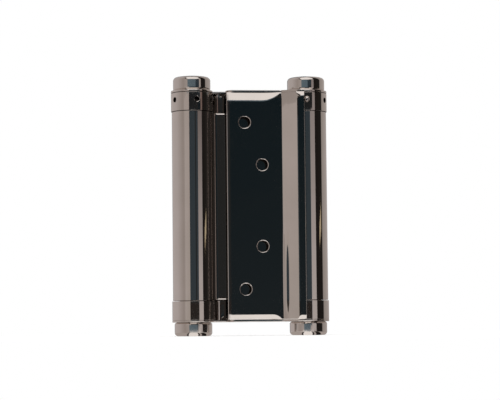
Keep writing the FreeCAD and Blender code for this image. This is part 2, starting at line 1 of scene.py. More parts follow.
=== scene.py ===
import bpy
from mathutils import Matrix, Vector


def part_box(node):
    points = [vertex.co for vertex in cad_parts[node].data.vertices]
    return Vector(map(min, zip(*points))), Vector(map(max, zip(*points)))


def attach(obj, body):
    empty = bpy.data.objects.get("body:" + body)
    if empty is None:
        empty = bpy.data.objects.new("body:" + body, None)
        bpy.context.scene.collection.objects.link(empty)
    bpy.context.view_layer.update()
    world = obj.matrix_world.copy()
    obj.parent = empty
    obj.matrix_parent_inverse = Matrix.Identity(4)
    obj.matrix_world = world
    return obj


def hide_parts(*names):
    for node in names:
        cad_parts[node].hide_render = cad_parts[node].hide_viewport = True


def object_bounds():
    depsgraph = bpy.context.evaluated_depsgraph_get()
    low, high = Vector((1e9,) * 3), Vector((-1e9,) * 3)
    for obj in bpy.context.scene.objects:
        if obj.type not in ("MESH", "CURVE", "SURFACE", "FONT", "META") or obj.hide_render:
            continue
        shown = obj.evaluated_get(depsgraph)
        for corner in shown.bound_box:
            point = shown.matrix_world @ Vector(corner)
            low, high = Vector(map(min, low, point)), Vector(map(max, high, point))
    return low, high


bl_info = {
    "name": "Double action cafe hinge",
    "version": (1, 0, 0),
    "blender": (4, 5, 0),
    "location": "View3D > Sidebar > Cafe Hinge",
    "description": "Models and finishes a double action cafe hinge and sets up its studio",
    "category": "Object",
}

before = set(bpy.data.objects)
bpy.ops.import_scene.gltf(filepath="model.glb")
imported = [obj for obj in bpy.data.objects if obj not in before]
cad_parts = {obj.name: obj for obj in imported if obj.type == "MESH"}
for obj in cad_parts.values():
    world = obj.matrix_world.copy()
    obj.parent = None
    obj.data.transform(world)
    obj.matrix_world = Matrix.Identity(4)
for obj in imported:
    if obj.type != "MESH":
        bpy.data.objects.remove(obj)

import math

import bmesh
import bpy
from mathutils import Matrix, Vector

CAD_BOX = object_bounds()
UP = Vector((0.0, 0.0, 1.0))
SIDES = ("door", "jamb")
ENDS = ("top", "bottom")
ROUND_STEPS = 144
HARD_ANGLE, FACING = math.radians(32.0), 0.99
WELD, ON_FACE, ON_RING = 1e-7, 1e-6, 1e-5


def middle(node):
    """Middle of a CAD node's box."""
    low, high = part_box(node)
    return (low + high) / 2


BARREL_SPACING = middle("door_spindle").x - middle("jamb_spindle").x
PLATE_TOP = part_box("door_flange")[1].z
COLLAR_LOW, COLLAR_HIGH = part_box("door_fixed_collar")
CAP_LOW, CAP_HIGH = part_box("door_top_cap")
WEB_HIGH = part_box("centre_web")[1]


def length(description, default):
    """A size of the hinge or its studio, in metres."""
    return bpy.props.FloatProperty(
        description=description, default=default, min=0.0, precision=5, unit="LENGTH")


def angle(description, degrees):
    """An angle, given in degrees and kept in radians."""
    return bpy.props.FloatProperty(
        description=description, default=math.radians(degrees), unit="ROTATION")


def share(description, default):
    """A share from nought to one."""
    return bpy.props.FloatProperty(
        description=description, default=default, min=0.0, max=1.0, subtype="FACTOR")


def colour(description, default):
    """A surface colour."""
    return bpy.props.FloatVectorProperty(
        description=description, default=default, size=3, min=0.0, max=1.0,
        subtype="COLOR")


def labelled(group):
    """Label each property of a group with the words of its own name."""
    for name, prop in group.__annotations__.items():
        prop.keywords["name"] = name.replace("_", " ").capitalize()
    return group


@labelled
class HingeSizes(bpy.types.PropertyGroup):
    """Sizes of the hinge's pieces."""
    barrel_spacing: length("Between the two barrel axes", BARREL_SPACING)
    plate_top: length("Outer side of an end plate above the middle", PLATE_TOP)
    plate_thickness: length("End plate of a flange", 0.0012)
    plate_back_edge: length("Arm of the plate to the axes' plane", 0.001)
    plate_corner: length("Front corner at the free edge", 0.0045)
    plate_rounding: length("Edge of an end plate", 0.00045)
    sheet_thickness: length("Sheet of a flange", 0.002)
    face_depth: length("Flange face in front of the axes' plane", 0.0069)
    edge_gap: length("Free edge to the other barrel's axis", 0.0184)
    ramp_angle: angle("Ramp between the flat and the barrel", 32.0)
    bend_radius: length("Hollow bend at the foot of the ramp", 0.0025)
    cut_angle: angle("Cut edge short of the barrel's front line", 11.8)
    edge_slope: length("Width of the slope along the free edge", 0.0008)
    edge_fall: length("How far that slope falls back", 0.0004)
    edge_rounding: length("Free edge and cut edge of a flange", 0.0004)
    hug_clearance: length("Between a collar and the sheet round it", 0.00025)
    margin_height: length("Rolled margin at a flange's ends", 0.0056)
    margin_depth: length("How far the margin falls back", 0.0007)
    margin_run: length("Run over which the margin narrows", 0.010)
    margin_pinch: share("Height of the margin left at the bend", 0.12)
    margin_share: share("Height of the margin left at the barrel", 0.5)
    margin_opening: angle("Turn over which it widens again", 10.0)
    lower_margin: share("Lower margin's height to the upper one's", 0.6)
    crease_place: share("Crease in the ramp, from bend to barrel", 0.33)
    crease_width: length("Half the width of that crease", 0.0019)
    crease_height: length("How far the crease stands out", 0.00023)
    corner_fillet: length("Hollow corner under an end plate", 0.0036)
    corner_height: length("Hollow corner down the sheet", 0.0085)
    screw_hole: length("Diameter of a flange's screw holes", 0.0063)
    screw_sink: length("Countersink on the side of the web", 0.0084)
    screw_break: length("Edge break of a screw hole on the face", 0.0005)
    outer_screws: length("Height between the outer screws", 0.0915)
    inner_screws: length("Height between the inner screws", 0.0447)
    screw_edge: length("Outer screws to the free edge", 0.0099)
    screw_stagger: length("Inner screws further in", 0.0096)
    tube_radius: length("Outside of a spring tube", WEB_HIGH.y)
    tube_height: length("Web and tubes above the middle", WEB_HIGH.z)
    web_thickness: length("Sheet of the web and its tubes", 0.0016)
    web_bend: length("Hollow bend between web and tube", 0.0032)
    seam_gap: length("Slit between a rolled edge and the web", 0.0004)
    rim_rounding: length("Upper and lower edges of the tubes", 0.0001)
    web_margin: length("Rolled margin at the ends of the flat web", 0.0014)
    web_recess: length("Flat web's ends inside the tubes' ends", 0.0006)
    web_roll: length("How far that margin falls back", 0.0007)
    collar_radius: length("Collars and plate rings", (COLLAR_HIGH.x - COLLAR_LOW.x) / 2)
    collar_foot: length("Collar's near end from the middle", -COLLAR_HIGH.z)
    collar_end: length("Collar's far end from the middle", -COLLAR_LOW.z)
    collar_rounding: length("Edges of the collars", 0.0001)
    capstan_hole: length("Radial holes of a tension collar", 0.0029)
    capstan_depth: length("Depth of the radial holes", 0.0035)
    capstan_drop: length("Holes below the flange's end", 0.0054)
    pin_diameter: length("Stop pin", 0.0028)
    pin_reach: length("Stop pin outside the collar", 0.0019)
    cap_radius: length("Cap nut", (CAP_HIGH.x - CAP_LOW.x) / 2)
    cap_end: length("Outer end of a cap nut from the middle", CAP_HIGH.z)
    cap_rounding: length("Outer edge of a cap nut", 0.002)
    cap_base: length("Edge of a cap nut at the end plate", 0.0013)
    bore_radius: length("Bore of the collars", 0.0036)
    wire_diameter: length("Spring wire", 0.0026)
    spring_radius: length("Axis to the middle of the wire", 0.0068)
    spring_leg: length("Straight ends of a spring", 0.0033)


@labelled
class HingeFinishes(bpy.types.PropertyGroup):
    """Colours and polish of the hinge's finishes."""
    nickel: colour("Polished nickel plate", (0.79, 0.735, 0.70))
    nickel_worn: colour("Nickel where hands have dulled it", (0.73, 0.68, 0.64))
    steel: colour("Bare turned steel", (0.52, 0.51, 0.50))
    spring_steel: colour("Oiled spring wire", (0.17, 0.155, 0.145))
    # Painted shade: this dark tint stands for the shade inside holes and in the gaps at the
    # ends of tubes and collars, beyond the dullness of unpolished metal
    seat: colour("Unpolished insides of the holes", (0.10, 0.085, 0.075))
    bronze: colour("Thrust washers", (0.64, 0.42, 0.20))
    polish: share("Roughness of the brightest nickel", 0.03)
    dulled: share("Roughness of the dullest nickel", 0.075)


@labelled
class HingeStudio(bpy.types.PropertyGroup):
    """The camera, the light and what stands round the hinge."""
    camera_turn: angle("Camera to the left of straight in front", 6.6636)
    camera_distance: length("Camera to the hinge's axis", 1.0541)
    camera_height: length("Camera below the middle", 0.066)
    camera_yaw: angle("Camera turned to the right", 0.0054)
    camera_pitch: angle("Camera tipped up", 4.031)
    camera_roll: angle("Camera rolled", -0.554)
    lens: bpy.props.FloatProperty(
        description="Focal length", default=138.213, unit="CAMERA")
    shift_x: bpy.props.FloatProperty(
        description="Sideways shift of the frame", default=-0.00016)
    shift_y: bpy.props.FloatProperty(
        description="Upward shift of the frame", default=-0.01753)
    floor: colour("Pale floor", (0.86, 0.86, 0.86))
    floor_radius: length("Round floor under the hinge", 0.30)
    tent_radius: length("Cloth tent round the hinge", 1.0)
    # The card round a barrel's foot carries painted light and shade of the floor
    foot_card_lift: length("Card round a barrel's foot, off the floor", 0.00005)
    foot_card_inside: length("Inner radius of that card", 0.008)
    foot_card_outside: length("Outer radius of that card", 0.031)


# Shapes
def only(items, kind):
    return [item for item in items if isinstance(item, kind)]


def spin_on(bm, geometry, centre, axis, turn, steps):
    """Spin a run of edges, or one corner, and give back its last place."""
    moved = bmesh.ops.spin(
        bm, geom=geometry, cent=centre, axis=axis, angle=turn, steps=steps,
        space=Matrix.Identity(4), use_merge=False, use_duplicate=False)
    return moved["geom_last"]


def outline(bm, start, steps):
    """Closed line in one plane. A step is a point to run to, or (centre, axis, turn, count)."""
    first = corner = bm.verts.new(start)
    for step in steps:
        if len(step) == 4:
            centre, axis, turn, count = step
            corner = only(spin_on(bm, [corner], centre, axis, turn, count),
                          bmesh.types.BMVert)[0]
        else:
            following = bm.verts.new(step)
            bm.edges.new((corner, following))
            corner = following
    if (corner.co - first.co).length > WELD:
        bm.edges.new((corner, first))
    bmesh.ops.remove_doubles(bm, verts=bm.verts, dist=WELD)
    return bm.edges[:]


def raised(bm, edges, step):
    """Fill a flat outline and draw it out to a solid."""
    face = bmesh.ops.edgeloop_fill(bm, edges=edges)["faces"]
    grown = bmesh.ops.extrude_face_region(bm, geom=face)["geom"]
    bmesh.ops.translate(bm, verts=only(grown, bmesh.types.BMVert), vec=step)
    bmesh.ops.recalc_face_normals(bm, faces=bm.faces)


def joined(parts):
    """All shapes as one."""
    whole = bmesh.new()
    for part in parts:
        carrier = bpy.data.meshes.new("part")
        part.to_mesh(carrier)
        part.free()
        whole.from_mesh(carrier)
        bpy.data.meshes.remove(carrier)
    return whole


def mirrored_down(bm):
    """Copy of a shape, mirrored in the level of the hinge's middle."""
    copy = bm.copy()
    bmesh.ops.scale(copy, vec=(1, 1, -1), verts=copy.verts)
    bmesh.ops.reverse_faces(copy, faces=copy.faces)
    return copy


def turned(profile, steps=ROUND_STEPS):
    """Solid turned about the vertical axis from its half section of (radius, height)."""
    bm = bmesh.new()
    corners = [bm.verts.new((radius, 0.0, height)) for radius, height in profile]
    edges = [bm.edges.new(pair) for pair in zip(corners, corners[1:])]
    if all(radius > 0 for radius, _ in profile):
        edges.append(bm.edges.new((corners[-1], corners[0])))
    bmesh.ops.spin(
        bm, geom=corners + edges, cent=(0, 0, 0), axis=UP, angle=2 * math.pi, steps=steps,
        use_merge=True, use_duplicate=False)
    bmesh.ops.remove_doubles(bm, verts=bm.verts, dist=WELD)
    bmesh.ops.recalc_face_normals(bm, faces=bm.faces)
    return bm


def soften(bm, edges, width, segments):
    bmesh.ops.bevel(
        bm, geom=edges, offset=width, offset_type="OFFSET", segments=segments, profile=0.5,
        affect="EDGES", material=-1, clamp_overlap=True)


def soften_ring(bm, radius, height, width, segments):
    """Round a turned shape's edge at a radius and height about its axis."""
    def on_ring(corner):
        return (abs(corner.co.xy.length - radius) < ON_RING
                and abs(corner.co.z - height) < ON_RING)
    ring = [edge for edge in bm.edges if all(on_ring(corner) for corner in edge.verts)]
    soften(bm, ring, width, segments)


def soften_rims(bm, width, segments):
    """Round the level edges of a slab, where its sides meet its ends."""
    rims = [edge for edge in bm.edges
            if abs(edge.verts[0].co.z - edge.verts[1].co.z) < WELD
            and edge.calc_face_angle(0.0) > HARD_ANGLE]
    soften(bm, rims, width, segments)


def corners_of(edges):
    return list({corner for edge in edges for corner in edge.verts})


def pushed(bm, edges, step):
    """Extrude a run of edges by a step and give back its new place."""
    grown = bmesh.ops.extrude_edge_only(bm, edges=edges)["geom"]
    corners = only(grown, bmesh.types.BMVert)
    bmesh.ops.translate(bm, verts=corners, vec=step)
    fresh = set(corners)
    return [edge for edge in only(grown, bmesh.types.BMEdge)
            if edge.verts[0] in fresh and edge.verts[1] in fresh]


def closed(bm):
    """Close the open ends of a swept shape and give back the faces that close them."""
    open_edges = [edge for edge in bm.edges if edge.is_boundary]
    ends = bmesh.ops.holes_fill(bm, edges=open_edges, sides=0)["faces"]
    bmesh.ops.recalc_face_normals(bm, faces=bm.faces)
    return ends


def mesh_object(name, bm):
    mesh = bpy.data.meshes.new(name)
    bm.to_mesh(mesh)
    bm.free()
    piece = bpy.data.objects.new(name, mesh)
    bpy.context.scene.collection.objects.link(piece)
    return piece


def carved(bm, tool):
    """The first shape with the second cut out of it."""
    body, cutter = mesh_object("blank", bm), mesh_object("cutter", tool)
    cut = body.modifiers.new("cut", "BOOLEAN")
    cut.object, cut.operation, cut.solver = cutter, "DIFFERENCE", "EXACT"
    graph = bpy.context.evaluated_depsgraph_get()
    mesh = body.evaluated_get(graph).to_mesh()
    result = bmesh.new()
    result.from_mesh(mesh)
    for leftover in (body, cutter):
        bpy.data.objects.remove(leftover)
    return result


def at_barrel(bm, side):
    """Move a shape made about its own barrel's axis to the door or the jamb side."""
    half = bpy.context.scene.hinge_sizes.barrel_spacing / 2
    turn = 0.0 if side == "door" else math.pi
    place = Vector((half if side == "door" else -half, 0.0, 0.0))
    bmesh.ops.transform(
        bm, matrix=Matrix.Translation(place) @ Matrix.Rotation(turn, 4, "Z"), verts=bm.verts)


def finished(name, bm, materials, body, node):
    """Turn a shape into a piece of the scene that stands for a CAD node."""
    bmesh.ops.remove_doubles(bm, verts=bm.verts, dist=WELD)
    for face in bm.faces:
        face.smooth = True
    for edge in bm.edges:
        edge.smooth = edge.calc_face_angle(0.0) < HARD_ANGLE
    piece = mesh_object(name, bm)
    for material in materials:
        piece.data.materials.append(material)
    evened = piece.modifiers.new("even_shading", "WEIGHTED_NORMAL")
    evened.keep_sharp = True
    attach(piece, body)
    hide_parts(node)
    return piece


def true_round(piece, axis, radius):
    """Shade a turned piece's outer side as a true cylinder, also beside its holes."""
    mesh = piece.data
    piece.modifiers.clear()
    normals = [Vector(corner.vector) for corner in mesh.corner_normals]
    for face in mesh.polygons:
        for place in face.loop_indices:
            out = mesh.vertices[mesh.loops[place].vertex_index].co - Vector((axis, 0, 0))
            out.z = 0.0
            on_side = abs(out.length - radius) < ON_RING
            if on_side and face.normal.dot(out.normalized()) > FACING:
                normals[place] = out.normalized()
    mesh.normals_split_custom_set(normals)


# Finishes
# A noise is its features to the metre, its detail and, where it is drawn out, its stretch
PATCHES, WAVES, HAIRLINES = (55.0, 5.0), (45.0, 1.0), (2600.0, 2.0)
STAINS, LATHE_RINGS, SPECKS = (120.0, 6.0), (300.0, 2.0, (0.05, 0.05, 12.0)), (900.0, 6.0)
WAVE_DEPTH, HAIRLINE_DEPTH = 0.00001, 0.0000004
RING_DEPTH, SPECK_DEPTH = 0.000004, 0.000006
UPRIGHT_LINES, ROUND_LINES, NO_LINES = (1.0, 1.0, 0.03), (1.0, 1.0, 0.2), (1.0, 1.0, 1.0)
STAIN_SHADE, SCALE_SHADE = 0.72, 1.9
SEAT_ROUGHNESS, STEEL_ROUGHNESS, BRONZE_ROUGHNESS = 0.4, 0.3, 0.34
WIRE_ROUGHNESS = (0.28, 0.5)
# Sockets of a Mix node that mixes colours
MIX_FACTOR, MIX_FIRST, MIX_SECOND, MIX_RESULT = 0, 6, 7, 2


def add(tree, kind, **settings):
    """Add a shader node. Settings name its attributes, or its sockets by their names."""
    node = tree.nodes.new("ShaderNode" + kind)
    for key, value in settings.items():
        if hasattr(node, key):
            setattr(node, key, value)
        else:
            node.inputs[key.replace("_", " ")].default_value = value
    return node


def new_tree(holder):
    """Empty node tree of a material or a world."""
    holder.use_nodes = True
    holder.node_tree.nodes.clear()
    return holder.node_tree


def new_finish(name, kind="BsdfPrincipled"):
    """Material with one shader on its surface."""
    material = bpy.data.materials.new(name)
    tree = new_tree(material)
    output = add(tree, "OutputMaterial")
    shader = add(tree, kind)
    tree.links.new(shader.outputs[0], output.inputs["Surface"])
    return material, tree, shader


def noise(tree, scale, detail, stretch=(1.0, 1.0, 1.0)):
    """Noise on Object coordinates."""
    place = add(tree, "TexCoord")
    mapping = add(tree, "Mapping", Scale=stretch)
    texture = add(tree, "TexNoise", Scale=scale, Detail=detail)
    tree.links.new(place.outputs["Object"], mapping.inputs["Vector"])
    tree.links.new(mapping.outputs["Vector"], texture.inputs["Vector"])
    return texture.outputs["Fac"]


def ranged(tree, source, low, high, start=0.3, stop=0.7):
    """Stretch a value between start and stop over a new range."""
    node = add(tree, "MapRange", From_Min=start, From_Max=stop, To_Min=low, To_Max=high)
    tree.links.new(source, node.inputs["Value"])
    return node.outputs["Result"]


def metal(name, pattern, tints, roughness, bumps, spread=()):
    """Metal whose tint and roughness follow one noise, under bumps of (noise, depth)."""
    material, tree, shader = new_finish(name)
    shader.inputs["Metallic"].default_value = 1.0
    varied = noise(tree, *pattern)
    mix = add(tree, "Mix", data_type="RGBA")
    tree.links.new(ranged(tree, varied, 0.0, 1.0, *spread), mix.inputs[MIX_FACTOR])
    for socket, tint in zip((MIX_FIRST, MIX_SECOND), tints):
        mix.inputs[socket].default_value = (*tint, 1.0)
    tree.links.new(mix.outputs[MIX_RESULT], shader.inputs["Base Color"])
    tree.links.new(ranged(tree, varied, *roughness), shader.inputs["Roughness"])
    below = None
    for height, depth in bumps:
        bump = add(tree, "Bump", Strength=1.0, Distance=depth)
        tree.links.new(noise(tree, *height), bump.inputs["Height"])
        if below is not None:
            tree.links.new(below, bump.inputs["Normal"])
        below = bump.outputs["Normal"]
    tree.links.new(below, shader.inputs["Normal"])
    return material


def polished_nickel(name, hairline):
    """Mirror nickel plate: buffing hairlines, slow waves of the sheet and dulled patches."""
    finishes = bpy.context.scene.hinge_finishes
    return metal(name, PATCHES, (finishes.nickel, finishes.nickel_worn),
                 (finishes.polish, finishes.dulled),
                 ((WAVES, WAVE_DEPTH), ((*HAIRLINES, hairline), HAIRLINE_DEPTH)))


def turned_steel(name, base, rough):
    """Bare steel with the fine rings of a lathe tool and a few stains of oil."""
    darker = [channel * STAIN_SHADE for channel in base]
    return metal(name, STAINS, (base, darker), (rough * 0.8, rough * 1.3),
                 ((LATHE_RINGS, RING_DEPTH),))


def dull_seat_and_painted_shade(name):
    """Unpolished inside of a hole, or an end that bears on another piece, with painted shade:
    its dark tint stands for the shade in the hole or in the gap at that end.
    """
    return turned_steel(name, bpy.context.scene.hinge_finishes.seat, SEAT_ROUGHNESS)


def drawn_wire(name, base):
    """Oiled spring wire: dark, with specks of scale."""
    lighter = [min(1.0, channel * SCALE_SHADE) for channel in base]
    return metal(name, SPECKS, (base, lighter), WIRE_ROUGHNESS, ((SPECKS, SPECK_DEPTH),),
                 (0.45, 0.75))


# Pieces
ROLL_STEPS, BEND_STEPS, HUG_STEPS, RAMP_STEPS, MARGIN_STEPS = 12, 16, 20, 20, 8
CORNER_STEPS, PLATE_CORNER_STEPS, PLATE_RING_STEPS = 14, 10, 120
EDGE_SEGMENTS, RIM_SEGMENTS, ROUND_SEGMENTS, CAP_BASE_SEGMENTS = 4, 5, 12, 8
TUBE_STEPS, INNER_BEND_STEPS, OUTER_BEND_STEPS = 132, 12, 16
SCREW_STEPS, CAPSTAN_STEPS, PIN_STEPS = 64, 40, 64
COIL_STEPS, ELBOW_STEPS, WIRE_SEGMENTS = 24, 5, 10
# The crease ends below the middle and above the lower plate, and fades towards both
CREASE_STEPS, CREASE_TOP, CREASE_FOOT = 12, -0.008, 0.002
CREASE_FADE_TOP, CREASE_FADE_FOOT = 0.025, 0.005
# How far a cutter stands out of what it cuts
CUTTER_SPARE = 0.0004
# The screw holes' edge break has two facets: where they meet, and where they end
BREAK_ACROSS, BREAK_DEPTH, BREAK_FOOT = 0.6, 0.15, 0.7
# The rim of a capstan hole, whose cutter goes on at that slope outside the collar
CAPSTAN_RIM, CAPSTAN_FALL, CAPSTAN_CUTTER = 0.00025, 0.00016, 4
CAPSTAN_TURNS = (0.0, 62.0, 124.5, 194.6, 250.0, 305.0)
SEAT_CLEARANCE, SPIGOT_CLEARANCE, PLATE_CLEARANCE = 0.00004, 0.00008, 0.0003
CAP_BORE, CAP_BORE_DEPTH = 0.003, 0.0056
PIN_ROUNDING = 0.75
WIRE_PLAY = 0.985


def fillet_strip(sizes, lines):
    """Hollow corner between the flange's sheet and the arm of its upper end plate."""
    radius = sizes.corner_fillet
    top = sizes.plate_top - sizes.plate_thickness
    start, depth = lines["free"] + sizes.edge_rounding, lines["inner"]
    bm = bmesh.new()
    edges = outline(bm, (start, depth, top), [
        (start, depth, top - radius),
        ((start, depth + radius, top - radius), (1, 0, 0), -math.pi / 2, CORNER_STEPS),
    ])
    for corner in bm.verts:
        corner.co.z = top - (top - corner.co.z) * sizes.corner_height / radius
    raised(bm, edges, (lines["bend"].x - start, 0, 0))
    return bm


def flange_lines(sizes):
    """Plan of a flange about its own barrel: flat, hollow bend, ramp and hug."""
    hug = sizes.collar_radius + sizes.hug_clearance + sizes.sheet_thickness
    ramp = sizes.ramp_angle
    run = (hug * math.cos(ramp) - sizes.face_depth) / math.sin(ramp)
    knee = hug * math.sin(ramp) + run * math.cos(ramp)
    knee_reach = sizes.bend_radius * math.tan(ramp / 2)
    ahead = Vector((math.cos(ramp), -math.sin(ramp), 0.0))
    return {
        "free": -(sizes.barrel_spacing - sizes.edge_gap),
        "inner": sizes.sheet_thickness - sizes.face_depth,
        "bend": Vector((-knee - knee_reach, -sizes.face_depth - sizes.bend_radius, 0.0)),
        "ramp": ahead * (run - knee_reach),
        "hug": hug,
        "hug_start": Vector((-hug * math.sin(ramp), -hug * math.cos(ramp), 0.0)),
        "hug_turn": ramp - sizes.cut_angle,
        "cut": -math.pi / 2 - sizes.cut_angle,
    }


def behind_face(place, lines, sizes):
    """Depth of a place behind a flange's face, and the level direction of that depth."""
    flat, bend = Vector((place.x, place.y, 0.0)), lines["bend"]
    if flat.x <= bend.x:
        return flat.y + sizes.face_depth, Vector((0.0, 1.0, 0.0))
    aside = flat - bend
    if math.atan2(aside.x, aside.y) < sizes.ramp_angle:
        return aside.length - sizes.bend_radius, aside.normalized()
    if math.atan2(flat.x, -flat.y) > -sizes.ramp_angle:
        return lines["hug"] - flat.length, -flat.normalized()
    back = -lines["hug_start"].normalized()
    return (flat - lines["hug_start"]).dot(back), back


def crease_ramp(bm, lines, sizes):
    """Raise the slight crease that pressing leaves in the lower half of the ramp."""
    low, high = -sizes.plate_top + sizes.plate_thickness + CREASE_FOOT, CREASE_TOP
    for step in range(1, CREASE_STEPS):
        bmesh.ops.bisect_plane(
            bm, geom=bm.verts[:] + bm.edges[:] + bm.faces[:],
            plane_co=(0, 0, low + (high - low) * step / CREASE_STEPS), plane_no=UP)
    middle_x = lines["bend"].x + lines["ramp"].x * sizes.crease_place
    for corner in bm.verts:
        depth, back = behind_face(corner.co, lines, sizes)
        aside = (corner.co.x - middle_x) / sizes.crease_width
        if abs(depth) <= ON_FACE and low < corner.co.z < high and abs(aside) < 1:
            fade = min(1.0, (high - corner.co.z) / CREASE_FADE_TOP,
                       (corner.co.z - low) / CREASE_FADE_FOOT)
            corner.co -= back * sizes.crease_height * fade * math.cos(aside * math.pi / 2) ** 2


def narrow_margins(bm, lines, sizes, flat_top, narrow_from):
    """Slope the free edge, and narrow the rolled margins at the bend."""
    top = sizes.plate_top - sizes.plate_thickness
    for corner in bm.verts:
        level = abs(corner.co.z)
        depth, back = behind_face(corner.co, lines, sizes)
        on_face = depth < sizes.margin_depth + ON_FACE
        if on_face and corner.co.x < lines["free"] + WELD:
            corner.co += back * sizes.edge_fall
        if level < flat_top - WELD:
            continue
        closing = min(1.0, max(0.0, (corner.co.x - narrow_from) / sizes.margin_run))
        turn = math.atan2(corner.co.x, -corner.co.y) + sizes.ramp_angle
        opening = 1 - (1 - min(1.0, max(0.0, turn / sizes.margin_opening))) ** 2
        whole = 1.0
        if corner.co.z < 0:
            whole, closing = sizes.lower_margin, max(0.0, 2 * closing - 1)
        kept = (whole * (1 - (1 - sizes.margin_pinch) * closing ** 2)
                + (sizes.margin_share - whole * sizes.margin_pinch) * opening)
        corner.co.z = math.copysign(top - (top - level) * kept, corner.co.z)
        if on_face:
            corner.co += back * depth * (kept - 1)


def flange_sheet(sizes, lines):
    """The sheet, drawn as its upright section and swept along the face line."""
    top = sizes.plate_top - sizes.plate_thickness
    face, inner, free = -sizes.face_depth, lines["inner"], lines["free"]
    flat_top = top - sizes.margin_height
    radius = ((sizes.margin_height ** 2 + sizes.margin_depth ** 2)
              / (2 * sizes.margin_depth))
    roll = math.asin(sizes.margin_height / radius)
    bm = bmesh.new()
    edges = outline(bm, (free, inner, -top), [
        (free, inner, top),
        (free, face + sizes.margin_depth, top),
        ((free, face + radius, flat_top), (1, 0, 0), roll, ROLL_STEPS),
        (free, face, -flat_top),
        ((free, face + radius, -flat_top), (1, 0, 0), roll, ROLL_STEPS),
    ])
    bend = lines["bend"]
    narrow_from = bend.x - sizes.margin_run
    edges = pushed(bm, edges, (sizes.edge_slope, 0, 0))
    edges = pushed(bm, edges, (narrow_from - free - sizes.edge_slope, 0, 0))
    for _ in range(MARGIN_STEPS):
        edges = pushed(bm, edges, ((bend.x - narrow_from) / MARGIN_STEPS, 0, 0))
    last = spin_on(bm, corners_of(edges) + edges, bend, UP, -sizes.ramp_angle, BEND_STEPS)
    edges = only(last, bmesh.types.BMEdge)
    for _ in range(RAMP_STEPS):
        edges = pushed(bm, edges, lines["ramp"] / RAMP_STEPS)
    spin_on(bm, corners_of(edges) + edges, (0, 0, 0), UP, lines["hug_turn"], HUG_STEPS)
    bmesh.ops.remove_doubles(bm, verts=bm.verts, dist=WELD)
    narrow_margins(bm, lines, sizes, flat_top, narrow_from)
    crease_ramp(bm, lines, sizes)
    rims = list({edge for end in closed(bm) for edge in end.edges})
    soften(bm, rims, sizes.edge_rounding, EDGE_SEGMENTS)
    return bm


def flange_plate(sizes, lines):
    """Upper end plate: an arm along the sheet and a ring over the barrel."""
    under = sizes.plate_top - sizes.plate_thickness
    face, back = -sizes.face_depth, -sizes.plate_back_edge
    corner, free, ring = sizes.plate_corner, lines["free"], sizes.collar_radius
    bend, cut = lines["bend"], lines["cut"]
    back_start = -math.sqrt(ring ** 2 - back ** 2)
    back_turn = math.atan2(back, back_start) % (2 * math.pi)
    ring_turn = back_turn - (cut % (2 * math.pi))
    level = Vector((0.0, 0.0, under))
    bm = bmesh.new()
    edges = outline(bm, (free, face + corner, under), [
        ((free + corner, face + corner, under), UP, math.pi / 2, PLATE_CORNER_STEPS),
        (bend.x, face, under),
        (bend + level, UP, -sizes.ramp_angle, BEND_STEPS),
        lines["hug_start"] + level,
        (level, UP, lines["hug_turn"], HUG_STEPS),
        (ring * math.cos(cut), ring * math.sin(cut), under),
        (level, UP, ring_turn % (2 * math.pi), PLATE_RING_STEPS),
        (free, back, under),
    ])
    raised(bm, edges, UP * sizes.plate_thickness)
    soften_rims(bm, sizes.plate_rounding, EDGE_SEGMENTS)
    return bm


def mark_inside(tool, depth, sign=1):
    """Give the faces past a depth the second material, for the dull inside of a hole and the
    shade painted there.
    """
    for face in tool.faces:
        if all((corner.co.z - depth) * sign > -WELD for corner in face.verts):
            face.material_index = 1


def mark_ends(bm):
    """Give the level ends of a turned piece, which bear on others, the second material, whose
    dark tint paints the shade in the gaps between the pieces.
    """
    for face in bm.faces:
        if abs(face.normal.z) > FACING:
            face.material_index = 1


def screw_tools(sizes, lines):
    """Cutters for the four screw holes, each turned and laid along the flange's depth."""
    hole, sink = sizes.screw_hole / 2, sizes.screw_sink / 2
    edge, thickness = sizes.screw_break, sizes.sheet_thickness
    across = lines["free"] + sizes.screw_edge
    tools = []
    for x, spacing in ((across, sizes.outer_screws),
                       (across + sizes.screw_stagger, sizes.inner_screws)):
        for z in (spacing / 2, -spacing / 2):
            tool = turned([
                (0.0, -CUTTER_SPARE), (hole + edge, -CUTTER_SPARE), (hole + edge, 0.0),
                (hole + edge * BREAK_ACROSS, edge * BREAK_DEPTH),
                (hole, edge * BREAK_FOOT), (hole, thickness - (sink - hole)),
                (sink + CUTTER_SPARE, thickness + CUTTER_SPARE),
                (0.0, thickness + CUTTER_SPARE)], SCREW_STEPS)
            mark_inside(tool, edge * BREAK_FOOT)
            bmesh.ops.transform(
                tool, verts=tool.verts,
                matrix=Matrix.Translation((x, -sizes.face_depth, z))
                @ Matrix.Rotation(-math.pi / 2, 4, "X"))
            tools.append(tool)
    return joined(tools)


def barrel_piece(side, name, bm, node, materials, body=None):
    """Place a shape at the barrel of its side and make it that side's piece."""
    at_barrel(bm, side)
    return finished(f"{side}_{name}", bm, materials, body or side, f"{side}_{node}")


class HINGE_OT_flanges(bpy.types.Operator):
    """Model the two flanges with their end plates and screw holes"""
    bl_idname = "hinge.flanges"
    bl_label = "Flanges"

    def execute(self, context):
        sizes = context.scene.hinge_sizes
        lines = flange_lines(sizes)
        # The second material paints shade inside the screw holes and their countersinks
        materials = polished_nickel("flange_nickel", UPRIGHT_LINES), dull_seat_and_painted_shade("screw_seat_shade")
        for side in SIDES:
            sheet = carved(flange_sheet(sizes, lines), screw_tools(sizes, lines))
            plate, strip = flange_plate(sizes, lines), fillet_strip(sizes, lines)
            flange = joined([sheet, plate, mirrored_down(plate), strip, mirrored_down(strip)])
            barrel_piece(side, "leaf", flange, "flange", materials)
        return {"FINISHED"}


